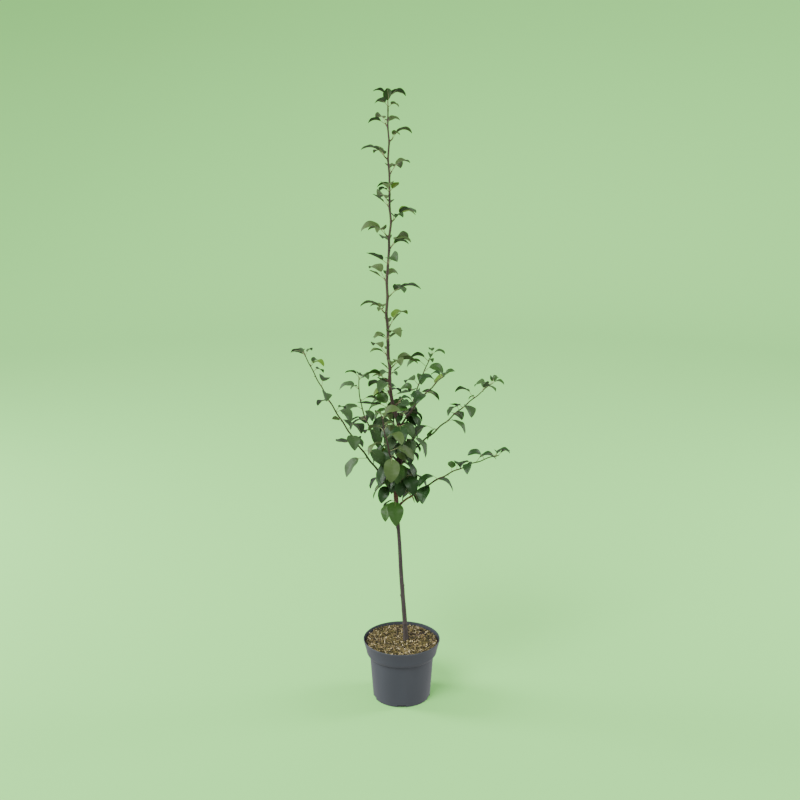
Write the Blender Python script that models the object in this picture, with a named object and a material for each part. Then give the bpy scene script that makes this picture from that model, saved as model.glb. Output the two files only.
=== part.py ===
"""A young pear tree in a round plastic nursery pot: the pot, its soil, the trunk with its leader,
eight boughs, the leafy shoot that each bough runs out into, and the leaf clusters on the trunk.
Metres, +Z up. The origin is the centre of the pot's flat underside, and -Y is the front."""

import math
import random

import bmesh
import bpy
from mathutils import Matrix, Vector
from mathutils.bvhtree import BVHTree

# Touching pieces stay this far apart.
GAP = 0.0003
# Edges sharper than these angles stay sharp on round pieces and on leaves.
ROUND_CREASE = 45
LEAF_CREASE = 60

# Pot
POT_HEIGHT = 0.114
RIM_RADIUS = 0.0705
LIP_DEPTH = 0.003
COLLAR_DEPTH = 0.0220
COLLAR_FOOT_RADIUS = 0.0653
STEP_DEPTH = 0.0100
STEP_ARC = 70
STEP_PARTS = 2
BODY_TOP_RADIUS = 0.0588
HEEL_HEIGHT = 0.0016
HEEL_RADIUS = 0.0530
SOLE_RADIUS = 0.0520
WALL = 0.0013
POT_STEPS = 40
SLOT_COUNT = 5
SLOT_WIDTH = 0.0155
SLOT_HEIGHT = 0.0042

# Soil
SOIL_TOP = 0.1065
SOIL_SWELL = 0.0016
SOIL_RINGS = (0.0595, 0.044, 0.028)
SOIL_FLAT_RADIUS = 0.012
SOIL_STEPS = 28
SOIL_SEED = 4

# Trunk: its course as height, shift to the right and shift to the back, then its thickness.
TRUNK_TIP = 1.0745
TRUNK_COURSE = (
    (SOIL_TOP + GAP, 0.0078, 0.004),
    (0.151, 0.0053, 0.005),
    (0.231, -0.0005, 0.004),
    (0.306, -0.0044, 0.001),
    (0.381, -0.0098, -0.001),
    (0.416, -0.0103, -0.001),
    (0.474, -0.0004, 0.001),
    (0.516, -0.0036, 0.002),
    (0.568, -0.0174, 0.002),
    (0.636, -0.0222, 0.000),
    (0.738, -0.0256, -0.002),
    (0.821, -0.0230, 0.000),
    (0.872, -0.0195, 0.002),
    (0.956, -0.0215, 0.001),
    (TRUNK_TIP, -0.0230, -0.001),
)
TRUNK_THICKNESS = (
    (SOIL_TOP, 0.0112),
    (0.114, 0.0094),
    (0.131, 0.0088),
    (0.216, 0.0080),
    (0.336, 0.0067),
    (0.368, 0.0084),
    (0.476, 0.0085),
    (0.521, 0.0078),
    (0.571, 0.0063),
    (0.696, 0.0053),
    (0.896, 0.0040),
    (1.036, 0.0030),
    (TRUNK_TIP, 0.0019),
)
TRUNK_SIDES = 8
TRUNK_RING_STEP = 0.021
FLARE_RINGS = (0.003, 0.0075, 0.016)

# Leader: the upper trunk, with a bud and its cluster of leaves at each node of a two fifths spiral.
LEADER_FOOT = 0.596
LEADER_NODES = 19
LEADER_TOP_NODE = 1.058
LEADER_NODE_DRIFT = 0.005
LEADER_FIRST_TURN = 198
SPIRAL_TURN = 144
NODE_KINK = 0.0013
NODE_SWELLING = 0.00035
NODE_SWELLING_REACH = 0.004

# Boughs: name, height on the trunk, heading (0 right, 90 back), rise at the root and at the tip in
# degrees, length, share of it that is bare, and the seed of its leafy shoot.
BOUGHS = (
    ("left_long", 0.400, -160, 51, 66, 0.306, 0.24, 90),
    ("left_short", 0.454, 143, 22, 95, 0.178, 0.30, 92),
    ("right_steep", 0.491, 58, 63, 42, 0.167, 0.24, 92),
    ("right_upper", 0.517, -34, 57, 41, 0.135, 0.22, 50),
    ("right_long", 0.456, 20, 37, 35, 0.212, 0.24, 113),
    ("right_low", 0.370, -25, 43, 22, 0.223, 0.12, 53),
    ("front", 0.428, -104, 46, 62, 0.172, 0.26, 50),
    ("back", 0.442, 98, 44, 66, 0.182, 0.26, 3),
)
BOUGH_RADIUS = 0.0021
BOUGH_TIP_RADIUS = 0.00085
BOUGH_SIDES = 6
BOUGH_RING_STEP = 0.018
BOUGH_KINK = 0.0009
BOUGH_TAPER = 0.8
LONGEST_BOUGH = 0.3
SHORT_BOUGH_SHARE = 0.75
SEAT_PROBES = 3
SEAT_PROBE_STEP = 0.6
NEARLY_UPRIGHT = 0.99

# Leafy shoots on the boughs
SHOOT_FIRST_NODE = 0.0065
SHOOT_NODE_STEP = 0.0185
NODE_STEP_SPREAD = (0.82, 1.18)
SHOOT_REACH = 0.062
SHOOT_FORWARD = 0.55
SHOOT_BLADE = 0.039
SHOOT_BLADE_TAPER = 0.30
HANGING_GAIN = 0.12
SECOND_LEAF_CHANCE = 0.35
SECOND_LEAF_SHIFT = 0.0026
SECOND_LEAF_TURN = 90
SECOND_LEAF_SIZE = (0.45, 0.7)
SHOOT_TUFT = 3
TUFT_BLADE = 0.024
TUFT_SIZE = (0.7, 1.0)
TUFT_TOP = 0.0012
TUFT_STEP = 0.0024
TUFT_FIRST_TURN = 45
TUFT_TURN = -100

# Leaf clusters on the thick part of the trunk: few leaves on the lowest, many above.
CROWN_FOOT = 0.372
CROWN_TOP = 0.584
CROWN_CLUSTERS = 16
CROWN_FIRST_TURN = -95
CROWN_SPUR = 0.013
CROWN_SPUR_RADIUS = 0.0015
CROWN_LEAVES = ((0.372, 1.6), (0.412, 6.4), (0.490, 8.0), (0.584, 4.0))
CROWN_REACH = 0.085
CROWN_SEED = 680

# Leaf clusters on the leader, and the tuft at its tip
LEADER_SPUR = 0.0065
LEADER_SPUR_RADIUS = 0.00115
LEADER_LEAVES = (3, 4)
LEADER_REACH = 0.066
LEADER_SEED = 5565
TIP_STEM = 0.007
TIP_LEAVES = 4
TIP_BLADE = 0.025
TIP_BLADE_STEP = 0.0035
TIP_SEED = 584
TIP_FIRST_TURN = 30

# Spurs, the short stems of all the clusters, and how their leaves stand on them
SPUR_RISE = 38
SPUR_CURL = 15
SPUR_SPREAD = (0.85, 1.15)
SPUR_TAPER = (1, 0.9, 0.75)
SPUR_SIDES = 5
SPUR_BERTH = 1.8
SPUR_NUDGES = (0, 25, -25, 50, -50, 75, -75)
FIRST_LEAF_PLACE = 0.92
LEAF_PLACE_SPAN = 0.72
FAN_TURN = (28, 46)
SIDE_LEAF_SIZE = (0.55, 0.95)

# Leaves: blade length by height on the trunk, then the proportions of every leaf. The midrib is
# worked out at even steps, and the sections of a small, a middling and a large blade lie on some.
BLADE_LENGTH = (
    (0.356, 0.049),
    (0.466, 0.047),
    (0.536, 0.042),
    (0.606, 0.037),
    (0.896, 0.036),
    (1.058, 0.028),
)
MIDRIB_STEPS = 12
SMALL_BLADE = 0.021
LARGE_BLADE = 0.037
SMALL_SECTIONS = (3, 8)
MIDDLING_SECTIONS = (2, 5, 9)
LARGE_SECTIONS = (1, 4, 7, 10)
BLADE_HALF_WIDTH = 0.28
BLADE_THICKNESS = 0.0008
PETIOLE_RADIUS = 0.00055
PETIOLE_SHARE = 0.40
LEAST_PETIOLE = 0.005
OUTLINE_LEAN = 0.8
OUTLINE_FULLNESS = 0.75
LEAF_CLEARANCE = 0.0004
ROOM_STANDOFF = 0.0014
ROOM_START_LIMIT = 0.7
LEAF_TRIES = 10

# How a leaf stands, in degrees, for a small stiff one and for a large hanging one: the rise of its
# stalk, the bend into its blade and the rise at its tip, then its width and fold. Leaves below the
# first height hang fully, and those above the second not at all.
STALK_RISE = (48, 18)
BLADE_BEND = (4, 38)
TIP_RISE = (-46, -84)
RELATIVE_WIDTH = (0.84, 1.02)
FOLD = (0.36, 0.18)
HANGING_BELOW = 0.50
STIFF_ABOVE = 0.60
ERECT_CHANCE = 0.2
ERECT_BEND = 20

# How far a leaf's own values are drawn about those
LENGTH_SPREAD = (0.90, 1.08)
RISE_SPREAD = (-14, 14)
TIP_SPREAD = (-16, 12)
TURN_SPREAD = (-20, 20)
ROLL_SPREAD = (-32, 32)
SWING_SPREAD = (-26, 26)
PETIOLE_SPREAD = (0.8, 1.2)

# Colours, each with its roughness
POT_PLASTIC = ((0.095, 0.112, 0.130), 0.42)
SOIL_AND_BARK = ((0.20, 0.135, 0.05), 0.95)
TRUNK_BARK = ((0.105, 0.075, 0.06), 0.75)
SHOOT_BARK = ((0.13, 0.06, 0.04), 0.6)
FOLIAGE = ((0.045, 0.115, 0.035), 0.4)


def clear_scene():
    for thing in list(bpy.data.objects):
        bpy.data.objects.remove(thing)


def material(name, colour, roughness):
    made = bpy.data.materials.new(name)
    made.use_nodes = True
    shader = made.node_tree.nodes["Principled BSDF"]
    shader.inputs["Base Color"].default_value = (*colour, 1)
    shader.inputs["Roughness"].default_value = roughness
    shader.inputs["Metallic"].default_value = 0
    made.diffuse_color = (*colour, 1)
    return made


def add_object(name, shape, finish=None):
    """A named object in the scene from a bmesh, which it frees."""
    mesh = bpy.data.meshes.new(name)
    bmesh.ops.recalc_face_normals(shape, faces=shape.faces)
    shape.to_mesh(mesh)
    shape.free()
    thing = bpy.data.objects.new(name, mesh)
    bpy.context.scene.collection.objects.link(thing)
    if finish:
        mesh.materials.append(finish)
    return thing


def apply_modifiers(thing):
    bpy.context.view_layer.objects.active = thing
    for modifier in list(thing.modifiers):
        bpy.ops.object.modifier_apply(modifier=modifier.name)


def shade(thing, crease):
    thing.data.shade_smooth()
    thing.data.set_sharp_from_angle(angle=math.radians(crease))


def heading(degrees):
    """The level unit vector of a heading."""
    turn = math.radians(degrees)
    return Vector((math.cos(turn), math.sin(turn), 0))


def blend(rows, at):
    """The rows' values at a place between them, on a smooth curve through every row."""
    last = len(rows) - 1
    here = 0
    while here < last - 1 and at > rows[here + 1][0]:
        here += 1
    start, end = rows[here], rows[here + 1]
    before = rows[max(here - 1, 0)]
    after = rows[min(here + 2, last)]
    span = end[0] - start[0]
    share = min(max((at - start[0]) / span, 0), 1)
    values = []
    for column in range(1, len(start)):
        slope_in = (end[column] - before[column]) / (end[0] - before[0]) * span
        slope_out = (after[column] - start[column]) / (after[0] - start[0]) * span
        rise = end[column] - start[column]
        square, cube = share**2, share**3
        values.append(
            start[column]
            + slope_in * (cube - 2 * square + share)
            + rise * (3 * square - 2 * cube)
            + slope_out * (cube - square)
        )
    return values


def tube(points, radii, sides, first_facing=None):
    """A closed tapering tube through the points. Its first end can be cut square to a given way."""
    shape = bmesh.new()
    rings = []
    across = None
    for index, point in enumerate(points):
        ahead = points[min(index + 1, len(points) - 1)]
        behind = points[max(index - 1, 0)]
        along = (ahead - behind).normalized()
        if across is None:
            beside = Vector((0, 0, 1)) if along.z < NEARLY_UPRIGHT else Vector((0, 1, 0))
            across = along.cross(beside).normalized()
        across = (across - along * across.dot(along)).normalized()
        up = across.cross(along)
        ring = []
        for side in range(sides):
            turn = 2 * math.pi * side / sides
            offset = (across * math.cos(turn) + up * math.sin(turn)) * radii[index]
            if index == 0 and first_facing:
                offset -= along * (offset.dot(first_facing) / along.dot(first_facing))
            ring.append(shape.verts.new(point + offset))
        rings.append(ring)
    for lower, upper in zip(rings, rings[1:]):
        for side in range(sides):
            after = (side + 1) % sides
            shape.faces.new((lower[side], lower[after], upper[after], upper[side]))
    shape.faces.new(rings[0])
    shape.faces.new(rings[-1])
    return shape


def pot_radius(height):
    """The outer radius of the pot's plain body at a height above its heel."""
    share = (height - HEEL_HEIGHT) / (POT_HEIGHT - COLLAR_DEPTH - STEP_DEPTH - HEEL_HEIGHT)
    return HEEL_RADIUS + (BODY_TOP_RADIUS - HEEL_RADIUS) * share


def pot_step():
    """The rounded step under the collar as radius and height, from the collar down to the body."""
    points = []
    for part in range(STEP_PARTS + 1):
        turn = math.radians(STEP_ARC * part / STEP_PARTS)
        inward = (1 - math.cos(turn)) / (1 - math.cos(math.radians(STEP_ARC)))
        down = math.sin(turn) / math.sin(math.radians(STEP_ARC))
        radius = COLLAR_FOOT_RADIUS - (COLLAR_FOOT_RADIUS - BODY_TOP_RADIUS) * inward
        points.append((radius, POT_HEIGHT - COLLAR_DEPTH - STEP_DEPTH * down))
    return points


def pot_inside():
    """The inner outline of the pot as radius and height, from the rim down to the floor."""
    return (
        (RIM_RADIUS - WALL, POT_HEIGHT - LIP_DEPTH),
        *((radius - WALL, height) for radius, height in pot_step()),
        (pot_radius(3 * HEEL_HEIGHT) - WALL, 3 * HEEL_HEIGHT),
        (SOLE_RADIUS - WALL, WALL),
    )


def add_pot():
    """The turned shell with its collar and lip, and the drainage slots at its foot."""
    outside = (
        (RIM_RADIUS - WALL / 2, POT_HEIGHT),
        (RIM_RADIUS, POT_HEIGHT - WALL / 2),
        (RIM_RADIUS - WALL / 4, POT_HEIGHT - LIP_DEPTH),
        *pot_step(),
        (HEEL_RADIUS, HEEL_HEIGHT),
        (SOLE_RADIUS, 0),
        (0, 0),
    )
    inside = ((0, WALL),) + tuple(reversed(pot_inside())) + ((RIM_RADIUS - WALL, POT_HEIGHT - WALL / 2),)
    shape = bmesh.new()
    corners = [shape.verts.new((radius, 0, height)) for radius, height in outside + inside]
    for one, other in zip(corners, corners[1:] + corners[:1]):
        shape.edges.new((one, other))
    pot = add_object("pot", shape, material("pot_plastic", *POT_PLASTIC))
    turned = pot.modifiers.new("turned", "SCREW")
    turned.steps = POT_STEPS
    turned.render_steps = POT_STEPS
    turned.use_merge_vertices = True
    turned.merge_threshold = 0.0001
    turned.use_normal_calculate = True
    apply_modifiers(pot)
    for number in range(SLOT_COUNT):
        cutter = slot_cutter(number)
        slot = pot.modifiers.new(cutter.name, "BOOLEAN")
        slot.operation = "DIFFERENCE"
        slot.object = cutter
    shade(pot, ROUND_CREASE)
    return pot


def slot_cutter(number):
    """A block that cuts one drainage slot through the foot of the wall and the edge of the floor."""
    out = heading(-90 + number * 360 / SLOT_COUNT)
    shape = bmesh.new()
    bmesh.ops.create_cube(shape, size=1)
    depth = 4 * WALL
    bmesh.ops.scale(shape, vec=(depth, SLOT_WIDTH, 2 * SLOT_HEIGHT), verts=shape.verts)
    turn = Matrix.Rotation(math.atan2(out.y, out.x), 4, "Z")
    place = Matrix.Translation(out * HEEL_RADIUS)
    bmesh.ops.transform(shape, matrix=place @ turn, verts=shape.verts)
    cutter = add_object(f"slot_cutter_{number}", shape)
    cutter.hide_render = True
    cutter.display_type = "WIRE"
    return cutter


def add_soil():
    """The plug of soil in the pot, uneven on top and flat round the trunk's foot."""
    draw = random.Random(SOIL_SEED)
    foot = trunk_axis(SOIL_TOP)
    shape = bmesh.new()
    outline = [(radius - GAP, height + GAP) for radius, height in reversed(pot_inside()[1:])]
    inner_rim, rim_height = pot_inside()[0]
    collar_radius, collar_height = pot_inside()[1]
    share = (SOIL_TOP - collar_height) / (rim_height - collar_height)
    outline.append((collar_radius + (inner_rim - collar_radius) * share - 2 * GAP, SOIL_TOP))
    rings = []
    for radius, height in outline:
        rings.append(soil_ring(shape, Vector((0, 0, height)), radius))
    for radius in SOIL_RINGS:
        ring = soil_ring(shape, Vector((0, 0, SOIL_TOP)), radius)
        for corner in ring:
            corner.co.z += draw.uniform(-SOIL_SWELL, SOIL_SWELL)
        rings.append(ring)
    rings.append(soil_ring(shape, Vector((foot.x, foot.y, SOIL_TOP)), SOIL_FLAT_RADIUS))
    for lower, upper in zip(rings, rings[1:]):
        for step in range(SOIL_STEPS):
            after = (step + 1) % SOIL_STEPS
            shape.faces.new((lower[step], lower[after], upper[after], upper[step]))
    shape.faces.new(rings[0])
    shape.faces.new(rings[-1])
    soil = add_object("soil", shape, material("soil_and_bark", *SOIL_AND_BARK))
    shade(soil, ROUND_CREASE)
    return soil


def soil_ring(shape, centre, radius):
    corners = []
    for step in range(SOIL_STEPS):
        corners.append(shape.verts.new(centre + heading(360 * step / SOIL_STEPS) * radius))
    return corners


def leader_nodes():
    """Each leader node as its height and the heading of its bud."""
    draw = random.Random(LEADER_SEED)
    nodes = []
    for number in range(LEADER_NODES):
        height = LEADER_FOOT + (LEADER_TOP_NODE - LEADER_FOOT) * number / (LEADER_NODES - 1)
        height += draw.uniform(-LEADER_NODE_DRIFT, LEADER_NODE_DRIFT)
        nodes.append((height, LEADER_FIRST_TURN + SPIRAL_TURN * number))
    return nodes


def crown_nodes():
    """Each leafy node on the thick part of the trunk as its height and the heading of its spur."""
    nodes = []
    for number in range(CROWN_CLUSTERS):
        height = CROWN_FOOT + (CROWN_TOP - CROWN_FOOT) * number / (CROWN_CLUSTERS - 1)
        nodes.append((height, CROWN_FIRST_TURN + SPIRAL_TURN * number))
    return nodes


def trunk_kinks():
    """The leader's zigzag as heights and level shifts: a little towards each of its buds."""
    kinks = [(CROWN_TOP, Vector((0, 0, 0)))]
    for height, turn in leader_nodes():
        kinks.append((height, heading(turn) * NODE_KINK))
    return kinks + [(TRUNK_TIP, Vector((0, 0, 0)))]


def trunk_axis(height):
    """The trunk's centre at a height: its course with the leader's zigzag."""
    centre = Vector((*blend(TRUNK_COURSE, height), height))
    kinks = trunk_kinks()
    for (low, low_shift), (high, high_shift) in zip(kinks, kinks[1:]):
        if low <= height < high:
            centre += low_shift.lerp(high_shift, (height - low) / (high - low))
    return centre


def trunk_radius(height):
    """Half the trunk's thickness at a height, swollen at each node of the leader."""
    radius = blend(TRUNK_THICKNESS, height)[0] / 2
    for node, _ in leader_nodes():
        nearness = 1 - abs(height - node) / NODE_SWELLING_REACH
        radius += NODE_SWELLING * max(nearness, 0)
    return radius


def trunk_heights():
    """The heights of the trunk's rings: even steps, close rings at its foot and at the nodes."""
    heights = {SOIL_TOP + GAP, TRUNK_TIP}
    heights |= {SOIL_TOP + rise for rise in FLARE_RINGS}
    foot = SOIL_TOP + FLARE_RINGS[-1]
    steps = int((LEADER_FOOT - foot) / TRUNK_RING_STEP)
    for step in range(1, steps):
        heights.add(foot + step * TRUNK_RING_STEP)
    for node, _ in leader_nodes():
        for offset in (-NODE_SWELLING_REACH, 0, NODE_SWELLING_REACH):
            heights.add(node + offset)
    return sorted(heights)


def add_trunk():
    """The whole trunk from its flat cut at the soil to the leader's tip, in level rings."""
    shape = bmesh.new()
    rings = []
    for height in trunk_heights():
        centre = trunk_axis(height)
        ring = []
        for side in range(TRUNK_SIDES):
            out = heading(360 * side / TRUNK_SIDES)
            ring.append(shape.verts.new(centre + out * trunk_radius(height)))
        rings.append(ring)
    for lower, upper in zip(rings, rings[1:]):
        for side in range(TRUNK_SIDES):
            after = (side + 1) % TRUNK_SIDES
            shape.faces.new((lower[side], lower[after], upper[after], upper[side]))
    shape.faces.new(rings[0])
    shape.faces.new(rings[-1])
    trunk = add_object("trunk", shape, material("trunk_bark", *TRUNK_BARK))
    shade(trunk, ROUND_CREASE)
    return trunk


def seat_on_trunk(height, turn, rise, radius):
    """The point where a limb starts, just clear of the trunk, on a line that leaves the trunk's
    axis at a height and rises at the limb's own angle."""
    out = heading(turn)
    centre = trunk_axis(height)
    climb = math.tan(math.radians(rise))
    middle = height + trunk_radius(height) * climb
    reach = 0
    for step in range(-SEAT_PROBES, SEAT_PROBES + 1):
        near = middle + step * radius * SEAT_PROBE_STEP
        reach = max(reach, (trunk_axis(near) - centre).dot(out) + trunk_radius(near))
    return centre + (out + Vector((0, 0, climb))) * (reach + GAP)


def limb_course(start, turn, rise_root, rise_tip, length, step, kink, draw):
    """Points along a limb that bends evenly from one rise to another, with a slight zigzag."""
    count = max(round(length / step), 2)
    points = [start]
    here = start.copy()
    for number in range(count):
        rise = math.radians(rise_root + (rise_tip - rise_root) * (number + 0.5) / count)
        ahead = heading(turn) * math.cos(rise) + Vector((0, 0, 1)) * math.sin(rise)
        here = here + ahead * (length / count)
        sideways = heading(turn + 90) * kink * draw.uniform(-1, 1)
        upwards = Vector((0, 0, kink)) * (-1) ** number
        points.append(here + sideways + upwards)
    return points


def split_course(points, share):
    """The course in two at a share of its length, with the gap between solids left open."""
    split = max(round(share * (len(points) - 1)), 1)
    onward = (points[split + 1] - points[split]).normalized()
    return points[: split + 1], [points[split] + onward * GAP] + points[split + 1 :]


def outline(share):
    """Half the width of a blade at a share of its length: egg-shaped with a drawn-out tip."""
    return math.sin(math.pi * share**OUTLINE_LEAN) ** OUTLINE_FULLNESS


def leaf_frame(turn, pitch, roll):
    """The leaf's ways along, across and up for its heading, pitch and roll."""
    out = heading(turn)
    angle = math.radians(pitch)
    lean = math.radians(roll)
    along = out * math.cos(angle) + Vector((0, 0, math.sin(angle)))
    face = Vector((0, 0, math.cos(angle))) - out * math.sin(angle)
    level = heading(turn + 90)
    across = level * math.cos(lean) + face * math.sin(lean)
    return along, across, face * math.cos(lean) - level * math.sin(lean)


def midrib(root, leaf):
    """The end of the leaf's straight stalk, then the even steps of the midrib, which bends down and
    aside along the blade. Each is a point and the frame there."""
    frame = leaf_frame(leaf["turn"], leaf["rise"], leaf["roll"])
    here = root + frame[0] * leaf["petiole"]
    places = [(here, frame)]
    start = leaf["rise"] - leaf["bend"]
    for step in range(MIDRIB_STEPS):
        share = (step + 0.5) / MIDRIB_STEPS
        pitch = start + (leaf["fall"] - start) * share
        frame = leaf_frame(leaf["turn"] + leaf["swing"] * share, pitch, leaf["roll"])
        here = here + frame[0] * leaf["blade"] / MIDRIB_STEPS
        places.append((here, frame))
    return places


def leaf_section(centre, frame, half, thick, fold):
    """The left edge, the midrib above, the right edge and the midrib below."""
    _, across, up = frame
    lift = up * half * fold
    return (
        centre + across * half + lift,
        centre + up * thick,
        centre - across * half + lift,
        centre - up * thick,
    )


def leaf_sections(root, leaf, swell=0):
    """The sections of a leaf from its root to its tip."""
    places = midrib(root, leaf)
    stalk = PETIOLE_RADIUS + swell
    sections = [leaf_section(root, places[0][1], stalk, stalk, 0)]
    sections.append(leaf_section(*places[0], stalk, stalk, 0))
    steps = LARGE_SECTIONS if leaf["blade"] > LARGE_BLADE else MIDDLING_SECTIONS
    if leaf["blade"] < SMALL_BLADE:
        steps = SMALL_SECTIONS
    for step in steps:
        half = leaf["half_width"] * outline(step / MIDRIB_STEPS) + swell
        thick = BLADE_THICKNESS / 2 + swell
        sections.append(leaf_section(*places[step], half, thick, leaf["fold"]))
    sections.append(leaf_section(*places[-1], 0, 0, 0))
    return sections


def leaf_shape(sections):
    """A closed leaf through its sections, ending in one point at its tip. Its upper and lower faces
    are cut into triangles the same way, from each edge onward to the midrib, so they stay apart."""
    shape = bmesh.new()
    rings = []
    for section in sections[:-1]:
        rings.append([shape.verts.new(corner) for corner in section])
    tip = shape.verts.new(sections[-1][0])
    for lower, upper in zip(rings, rings[1:]):
        for edge, rib in ((0, 1), (2, 1), (2, 3), (0, 3)):
            shape.faces.new((lower[edge], lower[rib], upper[rib]))
            shape.faces.new((lower[edge], upper[rib], upper[edge]))
    for side in range(4):
        shape.faces.new((rings[-1][side], rings[-1][(side + 1) % 4], tip))
    shape.faces.new(rings[0])
    return shape


def leaf_room(root, leaf, stem_radius):
    """A leaf swollen by its clearance, from just outside its stem on, for the overlap test."""
    sections = leaf_sections(root, leaf, LEAF_CLEARANCE)
    share = min((stem_radius + ROOM_STANDOFF) / leaf["petiole"], ROOM_START_LIMIT)
    start = []
    for inner, outer in zip(sections[0], sections[1]):
        start.append(inner.lerp(outer, share))
    shape = leaf_shape([start] + sections[1:])
    room = BVHTree.FromBMesh(shape)
    shape.free()
    return room


def between(pair, share):
    return pair[0] + (pair[1] - pair[0]) * share


def leaf_plan(draw, turn, blade, hang):
    """One leaf's sizes drawn about its heading and blade length. Hang runs from 0, a small stiff
    leaf that arches over or stands up, to 1, a large one that hangs."""
    length = blade * draw.uniform(*LENGTH_SPREAD)
    rise = between(STALK_RISE, hang) + draw.uniform(*RISE_SPREAD)
    fall = between(TIP_RISE, hang) + draw.uniform(*TIP_SPREAD)
    if draw.random() < ERECT_CHANCE * (1 - hang):
        fall = rise - ERECT_BEND
    return {
        "turn": turn + draw.uniform(*TURN_SPREAD),
        "rise": rise,
        "bend": between(BLADE_BEND, hang),
        "fall": fall,
        "roll": draw.uniform(*ROLL_SPREAD),
        "swing": draw.uniform(*SWING_SPREAD),
        "petiole": max(length * PETIOLE_SHARE * draw.uniform(*PETIOLE_SPREAD), LEAST_PETIOLE),
        "blade": length,
        "half_width": length * BLADE_HALF_WIDTH * between(RELATIVE_WIDTH, hang),
        "fold": between(FOLD, hang),
    }


def in_space(sections, spine, reach):
    """Whether a leaf keeps to its mass's own space, a reach round the mass's stem."""
    for section in sections:
        if min((section[1] - point).length for point in spine) > reach:
            return False
    return True


def grow_leaf(draw, place, turn, blade, hang, space, rooms):
    """Tries a leaf a few times. Its sections come back where it keeps to its space and touches
    nothing, or else nothing does."""
    root, stem_radius = place
    for _ in range(LEAF_TRIES):
        leaf = leaf_plan(draw, turn, blade, hang)
        sections = leaf_sections(root, leaf)
        if not in_space(sections, *space):
            continue
        room = leaf_room(root, leaf, stem_radius)
        if any(room.overlap(other) for other in rooms):
            continue
        rooms.append(room)
        return [sections]
    return []


def fuse(name, stem, leaves, finish):
    """One solid of a stem and the leaves that are sunk in it."""
    mass = add_object(name, stem, finish)
    helpers = bpy.data.collections.new(name + "_leaves")
    bpy.context.scene.collection.children.link(helpers)
    for sections in leaves:
        leaf = add_object("leaf", leaf_shape(sections))
        bpy.context.scene.collection.objects.unlink(leaf)
        helpers.objects.link(leaf)
    union = mass.modifiers.new("leaves", "BOOLEAN")
    union.operation = "UNION"
    union.operand_type = "COLLECTION"
    union.collection = helpers
    apply_modifiers(mass)
    for leaf in list(helpers.objects):
        bpy.data.objects.remove(leaf)
    bpy.data.collections.remove(helpers)
    shade(mass, LEAF_CREASE)
    return mass


def bough_radius(length, along):
    """A bough's radius at a distance along it."""
    share = SHORT_BOUGH_SHARE + (1 - SHORT_BOUGH_SHARE) * length / LONGEST_BOUGH
    root = BOUGH_RADIUS * share
    return root + (BOUGH_TIP_RADIUS - root) * (along / length) ** BOUGH_TAPER


def hang_at(height):
    """How much the leaves hang at a height on the trunk: fully low down, not at all up the leader."""
    return min(max((STIFF_ABOVE - height) / (STIFF_ABOVE - HANGING_BELOW), 0), 1)


def grow_bough(bough, rooms):
    """One bough up to its first leaves, and the course and radii of the shoot beyond."""
    name, height, turn, rise_root, rise_tip, length, bare, seed = bough
    draw = random.Random(seed)
    start = seat_on_trunk(height, turn, rise_root, BOUGH_RADIUS)
    course = limb_course(
        start, turn, rise_root, rise_tip, length, BOUGH_RING_STEP, BOUGH_KINK, draw
    )
    limb, shoot = split_course(course, bare)
    radii = [bough_radius(length, length * step / (len(course) - 1)) for step in range(len(course))]
    split = len(limb) - 1
    shape = tube(limb, radii[: split + 1], BOUGH_SIDES, heading(turn))
    rooms.append(BVHTree.FromBMesh(shape))
    shade(add_object(f"bough_{name}", shape, bpy.data.materials["shoot_bark"]), ROUND_CREASE)
    return shoot, radii[split:]


def place_on(course, distance):
    """The point and the way on at a distance along a course."""
    for start, end in zip(course, course[1:]):
        step = (end - start).length
        if distance <= step:
            break
        distance -= step
    return start.lerp(end, min(distance / step, 1)), (end - start) / step


def add_shoot(bough, course, radii, rooms):
    """The leafy shoot that a bough runs out into: a leaf or two at each node of a spiral and a
    tuft at its tip."""
    name, _, turn, _, _, _, _, seed = bough
    draw = random.Random(seed)
    stem = tube(course, radii, BOUGH_SIDES)
    rooms.append(BVHTree.FromBMesh(stem))
    total = sum((end - start).length for start, end in zip(course, course[1:]))
    space = (course, SHOOT_REACH)
    lowest_hang = hang_at(course[0].z)
    leaves = []
    distance = SHOOT_FIRST_NODE
    number = 0
    while distance < total:
        share = distance / total
        point, along = place_on(course, distance)
        radius = radii[0] + (radii[-1] - radii[0]) * share
        out = heading(turn + SPIRAL_TURN * number) + along * SHOOT_FORWARD
        leaf_turn = math.degrees(math.atan2(out.y, out.x))
        hang = lowest_hang * (1 - share)
        blade = SHOOT_BLADE * (1 - SHOOT_BLADE_TAPER * share) * (1 + HANGING_GAIN * hang)
        leaves += grow_leaf(draw, (point, radius), leaf_turn, blade, hang, space, rooms)
        if draw.random() < SECOND_LEAF_CHANCE:
            beside = point + along * SECOND_LEAF_SHIFT
            side_turn = leaf_turn + SECOND_LEAF_TURN
            small = blade * draw.uniform(*SECOND_LEAF_SIZE)
            leaves += grow_leaf(draw, (beside, radius), side_turn, small, hang, space, rooms)
        number += 1
        distance += SHOOT_NODE_STEP * draw.uniform(*NODE_STEP_SPREAD)
    for number in range(SHOOT_TUFT):
        root, _ = place_on(course, total - TUFT_TOP - TUFT_STEP * number)
        leaf_turn = turn + TUFT_FIRST_TURN + TUFT_TURN * number
        blade = TUFT_BLADE * draw.uniform(*TUFT_SIZE)
        leaves += grow_leaf(draw, (root, radii[-1]), leaf_turn, blade, 0, space, rooms)
    fuse(f"shoot_{name}", stem, leaves, bpy.data.materials["foliage"])


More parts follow.
